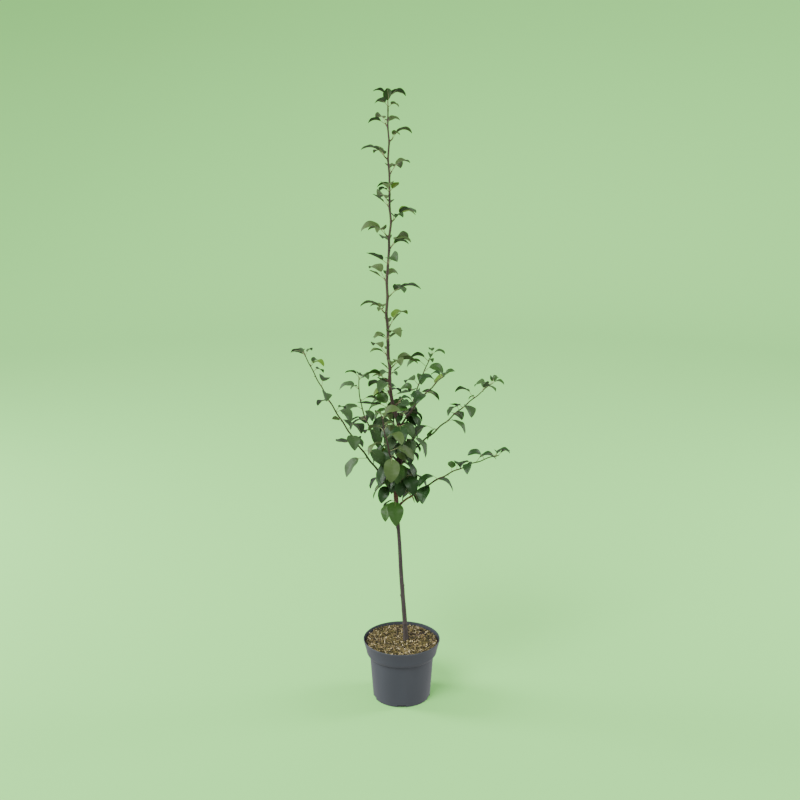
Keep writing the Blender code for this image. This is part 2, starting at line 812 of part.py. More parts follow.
def add_cluster(name, node, spur, radius, count, reach, seed, rooms):
    """A short spur on the trunk with a fan of leaves, the first straight out and the rest beside.
    A spur that would meet something other than the trunk is turned aside."""
    height, turn = node
    draw = random.Random(seed)
    hang = hang_at(height)
    length = spur * draw.uniform(*SPUR_SPREAD)
    for nudge in SPUR_NUDGES:
        start = seat_on_trunk(height, turn + nudge, SPUR_RISE, radius)
        top_rise = SPUR_RISE + SPUR_CURL
        course = limb_course(start, turn + nudge, SPUR_RISE, top_rise, length, length / 2, 0, draw)
        berth = tube(course, [radius * SPUR_BERTH] * len(course), SPUR_SIDES)
        wide_room = BVHTree.FromBMesh(berth)
        berth.free()
        if not any(wide_room.overlap(other) for other in rooms[1:]):
            break
    turn += nudge
    stem = tube(course, [radius * share for share in SPUR_TAPER], SPUR_SIDES, heading(turn))
    rooms.append(BVHTree.FromBMesh(stem))
    blade = blend(BLADE_LENGTH, height)[0]
    leaves = []
    for number in range(count):
        place = FIRST_LEAF_PLACE - LEAF_PLACE_SPAN * number / count
        root, _ = place_on(course, length * place)
        fan = (number + 1) // 2 * (-1) ** number * draw.uniform(*FAN_TURN)
        size = blade if number == 0 else blade * draw.uniform(*SIDE_LEAF_SIZE)
        leaves += grow_leaf(draw, (root, radius), turn + fan, size, hang, (course, reach), rooms)
    fuse(name, stem, leaves, bpy.data.materials["foliage"])


def add_tip(rooms):
    """The tuft at the leader's tip: its last soft stretch with small leaves that stand up."""
    draw = random.Random(TIP_SEED)
    top = trunk_axis(TRUNK_TIP)
    start = top + Vector((0, 0, GAP))
    radius = trunk_radius(TRUNK_TIP)
    course = [start + Vector((0, 0, TIP_STEM * share)) for share in (0, 0.5, 1)]
    stem = tube(course, [radius * share for share in SPUR_TAPER], SPUR_SIDES, Vector((0, 0, 1)))
    rooms.append(BVHTree.FromBMesh(stem))
    leaves = []
    for number in range(TIP_LEAVES):
        place = FIRST_LEAF_PLACE - LEAF_PLACE_SPAN * number / TIP_LEAVES
        root, _ = place_on(course, TIP_STEM * place)
        turn = TIP_FIRST_TURN + SPIRAL_TURN * number
        blade = TIP_BLADE - TIP_BLADE_STEP * number
        leaves += grow_leaf(draw, (root, radius), turn, blade, 0, (course, LEADER_REACH), rooms)
    fuse("leader_tip", stem, leaves, bpy.data.materials["foliage"])


def main():
    clear_scene()
    material("shoot_bark", *SHOOT_BARK)
    material("foliage", *FOLIAGE)
    add_pot()
    add_soil()
    trunk = add_trunk()
    shape = bmesh.new()
    shape.from_mesh(trunk.data)
    rooms = [BVHTree.FromBMesh(shape)]
    shape.free()
    shoots = [grow_bough(bough, rooms) for bough in BOUGHS]
    for bough, (course, radii) in zip(BOUGHS, shoots):
        add_shoot(bough, course, radii, rooms)
    spur = (CROWN_SPUR, CROWN_SPUR_RADIUS)
    for number, node in enumerate(crown_nodes()):
        name = f"crown_cluster_{number + 1:02}"
        count = round(blend(CROWN_LEAVES, node[0])[0])
        add_cluster(name, node, *spur, count, CROWN_REACH, CROWN_SEED + number, rooms)
    spur = (LEADER_SPUR, LEADER_SPUR_RADIUS)
    for number, node in enumerate(leader_nodes()):
        name = f"leader_cluster_{number + 1:02}"
        count = LEADER_LEAVES[number % 2]
        add_cluster(name, node, *spur, count, LEADER_REACH, LEADER_SEED + number, rooms)
    add_tip(rooms)


main()
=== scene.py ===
"""A young pear tree in a plastic nursery pot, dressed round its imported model: pot, potting soil
with its bark chips, trunk, boughs, spurs, buds and leaves. Metres, +Z up, -Y is the front."""

import math
import random

import bmesh
import bpy
from mathutils import Matrix, Vector, noise
from mathutils.bvhtree import BVHTree


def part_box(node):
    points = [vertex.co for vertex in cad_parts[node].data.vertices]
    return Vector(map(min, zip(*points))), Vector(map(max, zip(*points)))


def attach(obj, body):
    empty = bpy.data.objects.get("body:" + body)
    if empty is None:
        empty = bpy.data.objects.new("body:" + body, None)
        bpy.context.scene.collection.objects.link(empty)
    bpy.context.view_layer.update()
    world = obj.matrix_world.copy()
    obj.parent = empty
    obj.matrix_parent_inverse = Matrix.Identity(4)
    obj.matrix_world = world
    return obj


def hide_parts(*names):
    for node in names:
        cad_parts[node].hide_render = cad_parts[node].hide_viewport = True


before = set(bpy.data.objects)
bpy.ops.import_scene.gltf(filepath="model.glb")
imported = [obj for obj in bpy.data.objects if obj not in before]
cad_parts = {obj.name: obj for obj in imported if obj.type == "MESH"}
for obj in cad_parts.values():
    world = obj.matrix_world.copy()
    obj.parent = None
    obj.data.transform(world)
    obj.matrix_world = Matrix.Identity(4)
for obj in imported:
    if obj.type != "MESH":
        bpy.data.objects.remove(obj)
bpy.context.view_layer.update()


# Studio
# A seamless pale backdrop that curves up all round, a soft key light with a tall lamp on each side,
# and the camera level with the tree's top and tilted down, as the photograph has it. The backdrop
# takes light and shadow, and throws none of its colour back on the tree.
CAMERA_PLACE = (-0.0031, -2.0, 1.09813)
CAMERA_DIP = 14.83
CAMERA_LENS = 53.17
BACKDROP_RADIUS = 5.0
BACKDROP_HEIGHT = 4.0
BACKDROP_BEND = 1.6
BACKDROP_BEND_STEPS = 12
BACKDROP_STEPS = 96
TOP_FACE_MARGIN = 0.01
BACKDROP_GREEN = (0.29, 0.83, 0.20)
SKY_WHITE = (1.0, 0.99, 0.97)
SKY_STRENGTH = 0.70
KEY_FROM = Vector((-1.0, -1.5, 2.3))
KEY_STRENGTH = 2.6
KEY_SPREAD = 28
LAMPS = (
    ("left_lamp", (-2.4, 0.6, 1.5), (0.8, 2.4), 75),
    ("right_lamp", (2.4, 0.6, 1.5), (0.7, 2.4), 48),
)
LAMP_TARGET = Vector((0, 0, 0.55))
ROUND_CREASE = 60


class Socket:
    """A value in a material's nodes that can be added, subtracted and multiplied like a number."""

    def __init__(self, nodes, link):
        self.nodes = nodes
        self.link = link

    def maths(self, operation, first, second):
        return self.nodes.add("ShaderNodeMath", {"operation": operation}, {0: first, 1: second})

    def __add__(self, other):
        return self.maths("ADD", self, other)

    def __radd__(self, other):
        return self.maths("ADD", other, self)

    def __sub__(self, other):
        return self.maths("SUBTRACT", self, other)

    def __rsub__(self, other):
        return self.maths("SUBTRACT", other, self)

    def __mul__(self, other):
        return self.maths("MULTIPLY", self, other)

    def __rmul__(self, other):
        return self.maths("MULTIPLY", other, self)

    def clamped(self, low, high):
        """This value run from 0 at low to 1 at high, and held there."""
        settings = {"clamp": True, "data_type": "FLOAT"}
        return self.nodes.add("ShaderNodeMapRange", settings, {0: self, 1: low, 2: high})


class Finish:
    """A material of one Principled shader, whose nodes are made by one method."""

    def __init__(self, name, colour, roughness):
        self.material = bpy.data.materials.new(name)
        self.material.use_nodes = True
        self.tree = self.material.node_tree
        self.shader = self.tree.nodes["Principled BSDF"]
        self.material.diffuse_color = (*colour, 1)
        self.set("Base Color", (*colour, 1))
        self.set("Roughness", roughness)

    def set(self, socket, value):
        self.put(self.shader.inputs[socket], value)

    def put(self, target, value):
        if isinstance(value, Socket):
            self.tree.links.new(value.link, target)
        else:
            target.default_value = value

    def add(self, kind, settings, values, output=0):
        made = self.tree.nodes.new(kind)
        for name, value in settings.items():
            setattr(made, name, value)
        for name, value in values.items():
            self.put(made.inputs[name], value)
        return Socket(self, made.outputs[output])

    def place(self):
        """Where a point lies on the object, in metres."""
        return self.add("ShaderNodeTexCoord", {}, {}, "Object")

    def grain(self, scale, detail=3.0, stretch=(1, 1, 1)):
        """Noise of a scale per metre, stretched along an axis by a small number there."""
        spread = self.add("ShaderNodeMapping", {}, {"Vector": self.place(), "Scale": stretch})
        values = {"Vector": spread, "Scale": scale, "Detail": detail}
        return self.add("ShaderNodeTexNoise", {}, values, "Fac")

    def mix(self, share, first, second):
        """Two colours mixed by a share."""
        values = {0: share, 6: first, 7: second}
        return self.add("ShaderNodeMix", {"data_type": "RGBA"}, values, 2)

    def bump(self, height, depth):
        """Relief of a depth in metres."""
        values = {"Height": height, "Distance": depth, "Strength": 1.0}
        self.set("Normal", self.add("ShaderNodeBump", {}, values))


def deselect():
    if bpy.context.mode != "OBJECT":
        bpy.ops.object.mode_set(mode="OBJECT")
    bpy.ops.object.select_all(action="DESELECT")


def turned(name, profile, steps):
    """A turned solid: a disc, extruded and resized from ring to ring of its profile, which starts
    at the bottom and gives each ring's radius and height."""
    deselect()
    radius, height = profile[0]
    bpy.ops.mesh.primitive_circle_add(
        vertices=steps, radius=radius, fill_type="NGON", location=(0, 0, height)
    )
    piece = bpy.context.object
    piece.name = name
    bpy.ops.object.transform_apply(location=True, rotation=False, scale=False)
    bpy.ops.object.mode_set(mode="EDIT")
    bpy.ops.mesh.select_all(action="SELECT")
    for next_radius, next_height in profile[1:]:
        rise = {"value": (0, 0, next_height - height)}
        bpy.ops.mesh.extrude_region_move(TRANSFORM_OT_translate=rise)
        share = next_radius / radius
        bpy.ops.transform.resize(value=(share, share, 1), center_override=(0, 0, next_height))
        radius, height = next_radius, next_height
    bpy.ops.mesh.select_all(action="SELECT")
    bpy.ops.mesh.normals_make_consistent(inside=False)
    bpy.ops.object.mode_set(mode="OBJECT")
    return piece


def smooth(piece, crease):
    deselect()
    piece.select_set(True)
    bpy.context.view_layer.objects.active = piece
    bpy.ops.object.shade_smooth_by_angle(angle=math.radians(crease))


def settle(piece, finish, slot, *nodes):
    """Gives a finished piece its material and body, and hides the nodes that it stands for; its
    slot is not used.
    """
    piece.data.materials.clear()
    piece.data.materials.append(finish.material)
    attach(piece, "root")
    if nodes:
        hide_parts(*nodes)


backdrop_rings = [(BACKDROP_RADIUS - BACKDROP_BEND, 0.0)]
for step in range(1, BACKDROP_BEND_STEPS + 1):
    turn = math.radians(90 * step / BACKDROP_BEND_STEPS)
    out = BACKDROP_RADIUS - BACKDROP_BEND * (1 - math.sin(turn))
    backdrop_rings.append((out, BACKDROP_BEND * (1 - math.cos(turn))))
backdrop_rings.append((BACKDROP_RADIUS, BACKDROP_HEIGHT))
backdrop = turned("backdrop", backdrop_rings, BACKDROP_STEPS)
bpy.ops.object.mode_set(mode="EDIT")
bpy.ops.mesh.select_all(action="DESELECT")
bpy.ops.object.mode_set(mode="OBJECT")
for face in backdrop.data.polygons:
    face.select = face.center.z > BACKDROP_HEIGHT - TOP_FACE_MARGIN
bpy.ops.object.mode_set(mode="EDIT")
bpy.ops.mesh.delete(type="FACE")
bpy.ops.mesh.select_all(action="SELECT")
bpy.ops.mesh.flip_normals()
bpy.ops.object.mode_set(mode="OBJECT")
smooth(backdrop, ROUND_CREASE)
backdrop.data.materials.append(Finish("backdrop_paper", BACKDROP_GREEN, 0.9).material)
backdrop.visible_diffuse = False
backdrop.visible_glossy = False
backdrop.visible_shadow = False

sky = bpy.data.worlds.new("sky")
sky.use_nodes = True
sky.node_tree.nodes["Background"].inputs["Color"].default_value = (*SKY_WHITE, 1)
sky.node_tree.nodes["Background"].inputs["Strength"].default_value = SKY_STRENGTH
bpy.context.scene.world = sky
bpy.ops.object.light_add(type="SUN", location=KEY_FROM)
key_light = bpy.context.object
key_light.name = "key_light"
key_light.data.energy = KEY_STRENGTH
key_light.data.angle = math.radians(KEY_SPREAD)
key_light.rotation_euler = KEY_FROM.to_track_quat("Z", "Y").to_euler()
for name, place, (width, height), watts in LAMPS:
    bpy.ops.object.light_add(type="AREA", location=place)
    lamp = bpy.context.object
    lamp.name = name
    lamp.data.shape = "RECTANGLE"
    lamp.data.size = width
    lamp.data.size_y = height
    lamp.data.energy = watts
    lamp.rotation_euler = (LAMP_TARGET - lamp.location).to_track_quat("-Z", "Y").to_euler()

bpy.ops.object.camera_add(location=CAMERA_PLACE, rotation=(math.radians(90 - CAMERA_DIP), 0, 0))
camera = bpy.context.object
camera.data.lens = CAMERA_LENS
bpy.context.scene.camera = camera


# Pot
# A thin nursery pot of slate-grey plastic, moulded in one piece: a plain tapering body, a wider
# collar above a rounded step, a rolled lip, and drainage slots at the foot.
POT_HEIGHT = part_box("pot")[1].z
RIM_RADIUS = 0.0705
LIP_DEPTH = 0.003
COLLAR_DEPTH = 0.0220
COLLAR_FOOT_RADIUS = 0.0653
STEP_DEPTH = 0.0100
STEP_ARC = 70
STEP_PARTS = 10
BODY_TOP_RADIUS = 0.0588
HEEL_HEIGHT = 0.0016
HEEL_RADIUS = 0.0530
SOLE_RADIUS = 0.0520
WALL = 0.0013
POT_STEPS = 160
SLOT_COUNT = 5
SLOT_WIDTH = 0.0155
SLOT_HEIGHT = 0.0042
POT_SLATE = (0.050, 0.060, 0.070)
POT_DUST = (0.085, 0.096, 0.108)
POT_CLOUD = (22, 4, (1, 1, 0.35))
POT_SPECK = (700, 2)
DUST_SPAN = (0.45, 0.75)
DUST_SHARE = 0.30
POT_ROUGHNESS = 0.34
POT_ROUGHNESS_CLOUD = 0.16
POT_SPECK_DEPTH = 0.00006
POT_CREASE = 32
COLLAR_FOOT = POT_HEIGHT - COLLAR_DEPTH
BODY_TOP = COLLAR_FOOT - STEP_DEPTH


def body_radius(height):
    """The outer radius of the pot's plain body."""
    share = (height - HEEL_HEIGHT) / (BODY_TOP - HEEL_HEIGHT)
    return HEEL_RADIUS + (BODY_TOP_RADIUS - HEEL_RADIUS) * share


def pot_step(inset):
    """The rounded step under the collar, from the body up to the collar, set in by a wall."""
    rings = []
    for part in reversed(range(STEP_PARTS + 1)):
        turn = math.radians(STEP_ARC * part / STEP_PARTS)
        inward = (1 - math.cos(turn)) / (1 - math.cos(math.radians(STEP_ARC)))
        down = math.sin(turn) / math.sin(math.radians(STEP_ARC))
        radius = COLLAR_FOOT_RADIUS - (COLLAR_FOOT_RADIUS - BODY_TOP_RADIUS) * inward
        rings.append((radius - inset, COLLAR_FOOT - STEP_DEPTH * down))
    return rings


pot_profile = [
    (SOLE_RADIUS * 0.9, 0.0),
    (SOLE_RADIUS, 0.0),
    (HEEL_RADIUS - HEEL_HEIGHT * 0.15, HEEL_HEIGHT * 0.4),
    (HEEL_RADIUS, HEEL_HEIGHT),
]
pot_profile += pot_step(0)
pot_profile += [
    (RIM_RADIUS - WALL / 4, POT_HEIGHT - LIP_DEPTH),
    (RIM_RADIUS, POT_HEIGHT - LIP_DEPTH * 0.8),
    (RIM_RADIUS, POT_HEIGHT - WALL / 2),
    (RIM_RADIUS - WALL / 5, POT_HEIGHT - WALL / 8),
    (RIM_RADIUS - WALL / 2, POT_HEIGHT),
    (RIM_RADIUS - WALL * 0.85, POT_HEIGHT - WALL / 8),
    (RIM_RADIUS - WALL, POT_HEIGHT - WALL / 2),
    (RIM_RADIUS - WALL, POT_HEIGHT - LIP_DEPTH),
    *reversed(pot_step(WALL)),
    (body_radius(3 * HEEL_HEIGHT) - WALL, 3 * HEEL_HEIGHT),
    (SOLE_RADIUS - WALL, WALL),
]
pot = turned("nursery_pot", pot_profile, POT_STEPS)

for number in range(SLOT_COUNT):
    turn = math.radians(-90 + number * 360 / SLOT_COUNT)
    out = Vector((math.cos(turn), math.sin(turn), 0))
    deselect()
    bpy.ops.mesh.primitive_cube_add(size=1, location=out * HEEL_RADIUS, rotation=(0, 0, turn))
    cutter = bpy.context.object
    cutter.scale = (4 * WALL, SLOT_WIDTH, 2 * SLOT_HEIGHT)
    slot = pot.modifiers.new("slot", "BOOLEAN")
    slot.operation = "DIFFERENCE"
    slot.object = cutter
    bpy.context.view_layer.objects.active = pot
    bpy.ops.object.modifier_apply(modifier=slot.name)
    bpy.data.objects.remove(cutter)

pot_plastic = Finish("pot_plastic", POT_SLATE, POT_ROUGHNESS)
cloud = pot_plastic.grain(*POT_CLOUD)
speck = pot_plastic.grain(*POT_SPECK)
dusty = cloud.clamped(*DUST_SPAN) * DUST_SHARE
pot_plastic.set("Base Color", pot_plastic.mix(dusty, (*POT_SLATE, 1), (*POT_DUST, 1)))
pot_plastic.set("Roughness", POT_ROUGHNESS + cloud * POT_ROUGHNESS_CLOUD)
pot_plastic.bump(speck, POT_SPECK_DEPTH)
smooth(pot, POT_CREASE)
settle(pot, pot_plastic, "pot_plastic", "pot")


# Potting soil
# Moist dark compost, pressed in by hand to a finger's breadth under the rim, a little uneven on
# top. It fills the pot and shows dark through the drainage slots.
SOIL_TOP = 0.1065
SOIL_GAP = 0.0003
SOIL_STEPS = 120
SOIL_RINGS = 26
SOIL_SWELL = 0.0022
SOIL_SWELL_WAVES = 38
SOIL_SWELL_SLICE = 1.7
SOIL_CRUMB = 0.0008
SOIL_CRUMB_WAVES = 150
SOIL_CRUMB_SLICE = 4.1
SOIL_HEAP = 0.0010
SOIL_EASE = 0.008
SOIL_ROUGHNESS = 0.95
CRUMB_GRAIN = (900, 4)
CRUMB_SPAN = (0.45, 0.8)
CRUMB_DEPTH = 0.0012
SOIL_DARK = (0.020, 0.014, 0.009)
SOIL_PALE = (0.075, 0.050, 0.028)


def soil_height(x, y):
    """The uneven top of the compost, lowest along the pot's wall."""
    swell_at = (x * SOIL_SWELL_WAVES, y * SOIL_SWELL_WAVES, SOIL_SWELL_SLICE)
    crumb_at = (x * SOIL_CRUMB_WAVES, y * SOIL_CRUMB_WAVES, SOIL_CRUMB_SLICE)
    wide = noise.noise(Vector(swell_at))
    fine = noise.noise(Vector(crumb_at))
    away = min(max((SOIL_EDGE - math.hypot(x, y)) / SOIL_EASE, 0), 1)
    return SOIL_TOP + SOIL_HEAP * away + SOIL_SWELL * wide * away + SOIL_CRUMB * fine


rim_share = (SOIL_TOP - COLLAR_FOOT) / (POT_HEIGHT - LIP_DEPTH - COLLAR_FOOT)
collar_inside = COLLAR_FOOT_RADIUS - WALL
SOIL_EDGE = collar_inside + (RIM_RADIUS - COLLAR_FOOT_RADIUS) * rim_share - 2 * SOIL_GAP
soil_profile = [
    (SOLE_RADIUS - WALL - SOIL_GAP, WALL + SOIL_GAP),
    (body_radius(3 * HEEL_HEIGHT) - WALL - SOIL_GAP, 3 * HEEL_HEIGHT),
    *pot_step(WALL + SOIL_GAP),
    (SOIL_EDGE, SOIL_TOP),
]
for ring in range(1, SOIL_RINGS):
    soil_profile.append((SOIL_EDGE * (1 - ring / SOIL_RINGS), SOIL_TOP))
soil = turned("potting_soil", soil_profile, SOIL_STEPS)
for point in soil.data.vertices:
    if point.co.z > SOIL_TOP - SOIL_GAP:
        point.co.z = soil_height(point.co.x, point.co.y)
compost = Finish("compost", SOIL_DARK, SOIL_ROUGHNESS)
crumb = compost.grain(*CRUMB_GRAIN)
crumbly = crumb.clamped(*CRUMB_SPAN)
compost.set("Base Color", compost.mix(crumbly, (*SOIL_DARK, 1), (*SOIL_PALE, 1)))
compost.bump(crumb, CRUMB_DEPTH)
smooth(soil, ROUND_CREASE)
settle(soil, compost, "soil_and_bark", "soil")


# Bark chips
# A loose layer of shredded bark over the compost: curled flakes and splinters a few millimetres
# long, golden, tan, olive and dark brown, with pale chips that are partly pale bark and partly
# painted highlight, scattered by hand and thinner at the back right.
CHIP_SEED = 41
CHIP_KINDS = (
    ("bark_chips_golden", 800, (0.235, 0.185, 0.058)),
    ("bark_chips_tan", 300, (0.240, 0.175, 0.085)),
    ("bark_chips_olive", 1150, (0.092, 0.082, 0.020)),
    ("bark_chips_brown", 1350, (0.022, 0.018, 0.008)),
    # The pale chips are partly pale bark and partly painted highlight: coloured lighter as if
    # catching the light.
    ("bark_chips_pale_and_highlight", 270, (0.60, 0.51, 0.29)),
)
CHIP_LENGTH = (0.0030, 0.0100)
CHIP_LENGTH_SPREAD = (0.7, 1.15)
CHIP_WIDTH = (0.0006, 0.0019)
CHIP_WIDTH_SPREAD = (0.75, 1.2)
CHIP_THICKNESS = (0.0004, 0.0010)
CHIP_SECTIONS = 5
CHIP_CURL = 2.4
CHIP_TAPER = 1.5
CHIP_LIFT = (0.0002, 0.0026)
CHIP_TILT = 0.34
CHIP_ROLL = 0.5
CHIP_REACH = SOIL_EDGE - 0.0032
CHIP_ROUGHNESS = 0.85
CHIP_CREASE = 40
BARE_PATCH = Vector((0.034, 0.024, 0))
BARE_REACH = 0.034
BARENESS = 1.15
TRUNK_FOOT = Vector((0.0078, 0.004, 0))
TRUNK_BERTH = 0.0072


def chip_place(draw):
    """A place on the soil clear of the trunk. Fewer chips fall at the back right."""
    while True:
        turn = draw.uniform(0, 2 * math.pi)
        reach = CHIP_REACH * math.sqrt(draw.random())
        place = Vector((reach * math.cos(turn), reach * math.sin(turn), 0))
        bare = max(0, 1 - (place - BARE_PATCH).length / BARE_REACH)
        if (place - TRUNK_FOOT).length > TRUNK_BERTH and draw.random() > bare * BARENESS:
            return place


def add_chip(shape, draw):
    """One curled flake of a few sections, each a flat four-sided ring."""
    length = draw.uniform(*CHIP_LENGTH) * draw.uniform(*CHIP_LENGTH_SPREAD)
    width = draw.uniform(*CHIP_WIDTH)
    thick = draw.uniform(*CHIP_THICKNESS)
    curl = draw.uniform(-CHIP_CURL, CHIP_CURL)
    place = chip_place(draw)
    lift = draw.uniform(*CHIP_LIFT)
    place.z = soil_height(place.x, place.y) + lift
    turn = Matrix.Rotation(draw.uniform(0, 2 * math.pi), 4, "Z")
    tilt = Matrix.Rotation(draw.gauss(0, CHIP_TILT), 4, "Y")
    roll = Matrix.Rotation(draw.gauss(0, CHIP_ROLL), 4, "X")
    stand = Matrix.Translation(place) @ turn @ tilt @ roll
    rings = []
    for section in range(CHIP_SECTIONS):
        share = section / (CHIP_SECTIONS - 1) - 0.5
        bend = curl * share
        middle = Vector((length * share, 0, length * curl * share * share * 0.5))
        half = width / 2 * (1 - CHIP_TAPER * share**2) * draw.uniform(*CHIP_WIDTH_SPREAD)
        up = Vector((-math.sin(bend), 0, math.cos(bend))) * thick / 2
        side = Vector((0, half, 0))
        corners = (side + up, up - side, -side - up, side - up)
        rings.append([shape.verts.new(stand @ (middle + corner)) for corner in corners])
    for lower, upper in zip(rings, rings[1:]):
        for side in range(4):
            after = (side + 1) % 4
            shape.faces.new((lower[side], upper[side], upper[after], lower[after]))
    shape.faces.new(rings[0])
    shape.faces.new(reversed(rings[-1]))


def joined(name, shape):
    """One mesh piece from many small shapes, which it frees."""
    bmesh.ops.recalc_face_normals(shape, faces=shape.faces)
    mesh = bpy.data.meshes.new(name)
    shape.to_mesh(mesh)
    shape.free()
    piece = bpy.data.objects.new(name, mesh)
    bpy.context.scene.collection.objects.link(piece)
    return piece


chip_draw = random.Random(CHIP_SEED)
for name, count, colour in CHIP_KINDS:
    shape = bmesh.new()
    for _ in range(count):
        add_chip(shape, chip_draw)
    chips = joined(name, shape)
    smooth(chips, CHIP_CREASE)
    settle(chips, Finish(name, colour, CHIP_ROUGHNESS), "soil_and_bark")


# Trunk
# The young stem from the compost to the leader's tip: a small root flare, fine fissures and warts
# low down, smooth with a swelling and a zigzag at each node higher up. Grey-brown below, reddish
# in the crown, olive-brown up the leader, with pale lenticels.
GAP = 0.0003
TRUNK_TIP = 1.0745
TRUNK_COURSE = (
    (SOIL_TOP + GAP, 0.0078, 0.004),
    (0.151, 0.0053, 0.005),
    (0.231, -0.0005, 0.004),
    (0.306, -0.0044, 0.001),
    (0.381, -0.0098, -0.001),
    (0.416, -0.0103, -0.001),
    (0.474, -0.0004, 0.001),
    (0.516, -0.0036, 0.002),
    (0.568, -0.0174, 0.002),
    (0.636, -0.0222, 0.000),
    (0.738, -0.0256, -0.002),
    (0.821, -0.0230, 0.000),
    (0.872, -0.0195, 0.002),
    (0.956, -0.0215, 0.001),
    (TRUNK_TIP, -0.0230, -0.001),
)
TRUNK_THICKNESS = (
    (SOIL_TOP, 0.0112),
    (0.114, 0.0094),
    (0.131, 0.0088),
    (0.216, 0.0080),
    (0.336, 0.0067),
    (0.368, 0.0084),
    (0.476, 0.0085),
    (0.521, 0.0078),
    (0.571, 0.0063),
    (0.696, 0.0053),
    (0.896, 0.0040),
    (1.036, 0.0030),
    (TRUNK_TIP, 0.0019),
)
LEADER_FOOT = 0.596
LEADER_NODES = 19
LEADER_TOP_NODE = 1.058
LEADER_NODE_DRIFT = 0.005
LEADER_FIRST_TURN = 198
LEADER_SEED = 5565
SPIRAL_TURN = 144
NODE_KINK = 0.0013
NODE_SWELLING = 0.00035
NODE_SWELLING_REACH = 0.004
CROWN_TOP = 0.584
TRUNK_SINK = 0.003
TRUNK_RINGS = 26
TRUNK_RING_CUTS = 27
TRUNK_FINE_SIDES = 28
KNOT_FOOT = 0.142
KNOT_STEP = 0.0265
KNOT_DRIFT = 0.006
KNOTS = 8
KNOT_RISE = 0.0011
KNOT_HALF_HEIGHT = 0.0026
KNOT_HALF_TURN = 30
KNOT_SEED = 12
FLARE_HEIGHT = 0.012
FLARE_DEPTH = 0.07
FLARE_LOBES = 4
FLARE_TURN = 40
FLARE_FINE_LOBES = 3
FLARE_FINE_SHARE = 0.6
LEVEL_EDGE = 1e-6
ROUGH_BELOW = 0.50
ROUGH_FADE = 0.25
ROUGH_LEAST = 0.35
RELIEF_WIDTH = 2.2
FISSURE_WAVES = (2.3, 55)
FISSURE_DEPTH = 0.035
WART_WAVES = 130
WART_LEVEL = 0.28
WART_HEIGHT = 0.22
RING_WAVES = 420
RING_PLACE = (3.3, 1.1)
RING_HEIGHT = 0.00006
BARK_CREASE = 70


def heading(degrees):
    """The level unit vector of a heading."""
    turn = math.radians(degrees)
    return Vector((math.cos(turn), math.sin(turn), 0))


def blend(rows, at):
    """The rows' values at a place between them, on a smooth curve through every row."""
    last = len(rows) - 1
    here = 0
    while here < last - 1 and at > rows[here + 1][0]:
        here += 1
    start, end = rows[here], rows[here + 1]
    before = rows[max(here - 1, 0)]
    after = rows[min(here + 2, last)]
    span = end[0] - start[0]
    share = min(max((at - start[0]) / span, 0), 1)
    values = []
    for column in range(1, len(start)):
        slope_in = (end[column] - before[column]) / (end[0] - before[0]) * span
        slope_out = (after[column] - start[column]) / (after[0] - start[0]) * span
        rise = end[column] - start[column]
        square, cube = share**2, share**3
        values.append(
            start[column]
            + slope_in * (cube - 2 * square + share)
            + rise * (3 * square - 2 * cube)
            + slope_out * (cube - square)
        )
    return values


def leader_nodes():
    """Each leader node as its height and the heading of its bud."""
    draw = random.Random(LEADER_SEED)
    nodes = []
    for number in range(LEADER_NODES):
        height = LEADER_FOOT + (LEADER_TOP_NODE - LEADER_FOOT) * number / (LEADER_NODES - 1)
        height += draw.uniform(-LEADER_NODE_DRIFT, LEADER_NODE_DRIFT)
        nodes.append((height, LEADER_FIRST_TURN + SPIRAL_TURN * number))
    return nodes


def trunk_kinks():
    """The leader's zigzag as heights and level shifts: a little towards each of its buds."""
    kinks = [(CROWN_TOP, Vector((0, 0, 0)))]
    for height, turn in LEADER_PLACES:
        kinks.append((height, heading(turn) * NODE_KINK))
    return kinks + [(TRUNK_TIP, Vector((0, 0, 0)))]


def trunk_axis(height):
    """The trunk's centre at a height: its course with the leader's zigzag."""
    centre = Vector((*blend(TRUNK_COURSE, height), height))
    for (low, low_shift), (high, high_shift) in zip(TRUNK_KINKS, TRUNK_KINKS[1:]):
        if low <= height < high:
            centre += low_shift.lerp(high_shift, (height - low) / (high - low))
    return centre


def trunk_radius(height):
    """Half the trunk's thickness at a height, swollen at each node of the leader."""
    radius = blend(TRUNK_THICKNESS, height)[0] / 2
    for node, _ in LEADER_PLACES:
        nearness = 1 - abs(height - node) / NODE_SWELLING_REACH
        radius += NODE_SWELLING * max(nearness, 0)
    return radius


LEADER_PLACES = leader_nodes()
TRUNK_KINKS = trunk_kinks()


def ringed_cylinder(name, sides, rings, cuts):
    """A unit cylinder whose upright edges are subdivided twice into level rings."""
    deselect()
    bpy.ops.mesh.primitive_cylinder_add(vertices=sides, radius=1, depth=1, location=(0, 0, 0.5))
    piece = bpy.context.object
    piece.name = name
    bpy.ops.object.transform_apply(location=True, rotation=False, scale=False)
    for count in (rings, cuts):
        bpy.ops.object.mode_set(mode="EDIT")
        bpy.ops.mesh.select_mode(type="EDGE")
        bpy.ops.mesh.select_all(action="DESELECT")
        bpy.ops.object.mode_set(mode="OBJECT")
        for edge in piece.data.edges:
            low, high = (piece.data.vertices[end].co for end in edge.vertices)
            edge.select = abs(low.z - high.z) > LEVEL_EDGE
        bpy.ops.object.mode_set(mode="EDIT")
        bpy.ops.mesh.subdivide(number_cuts=count)
        bpy.ops.object.mode_set(mode="OBJECT")
    return piece


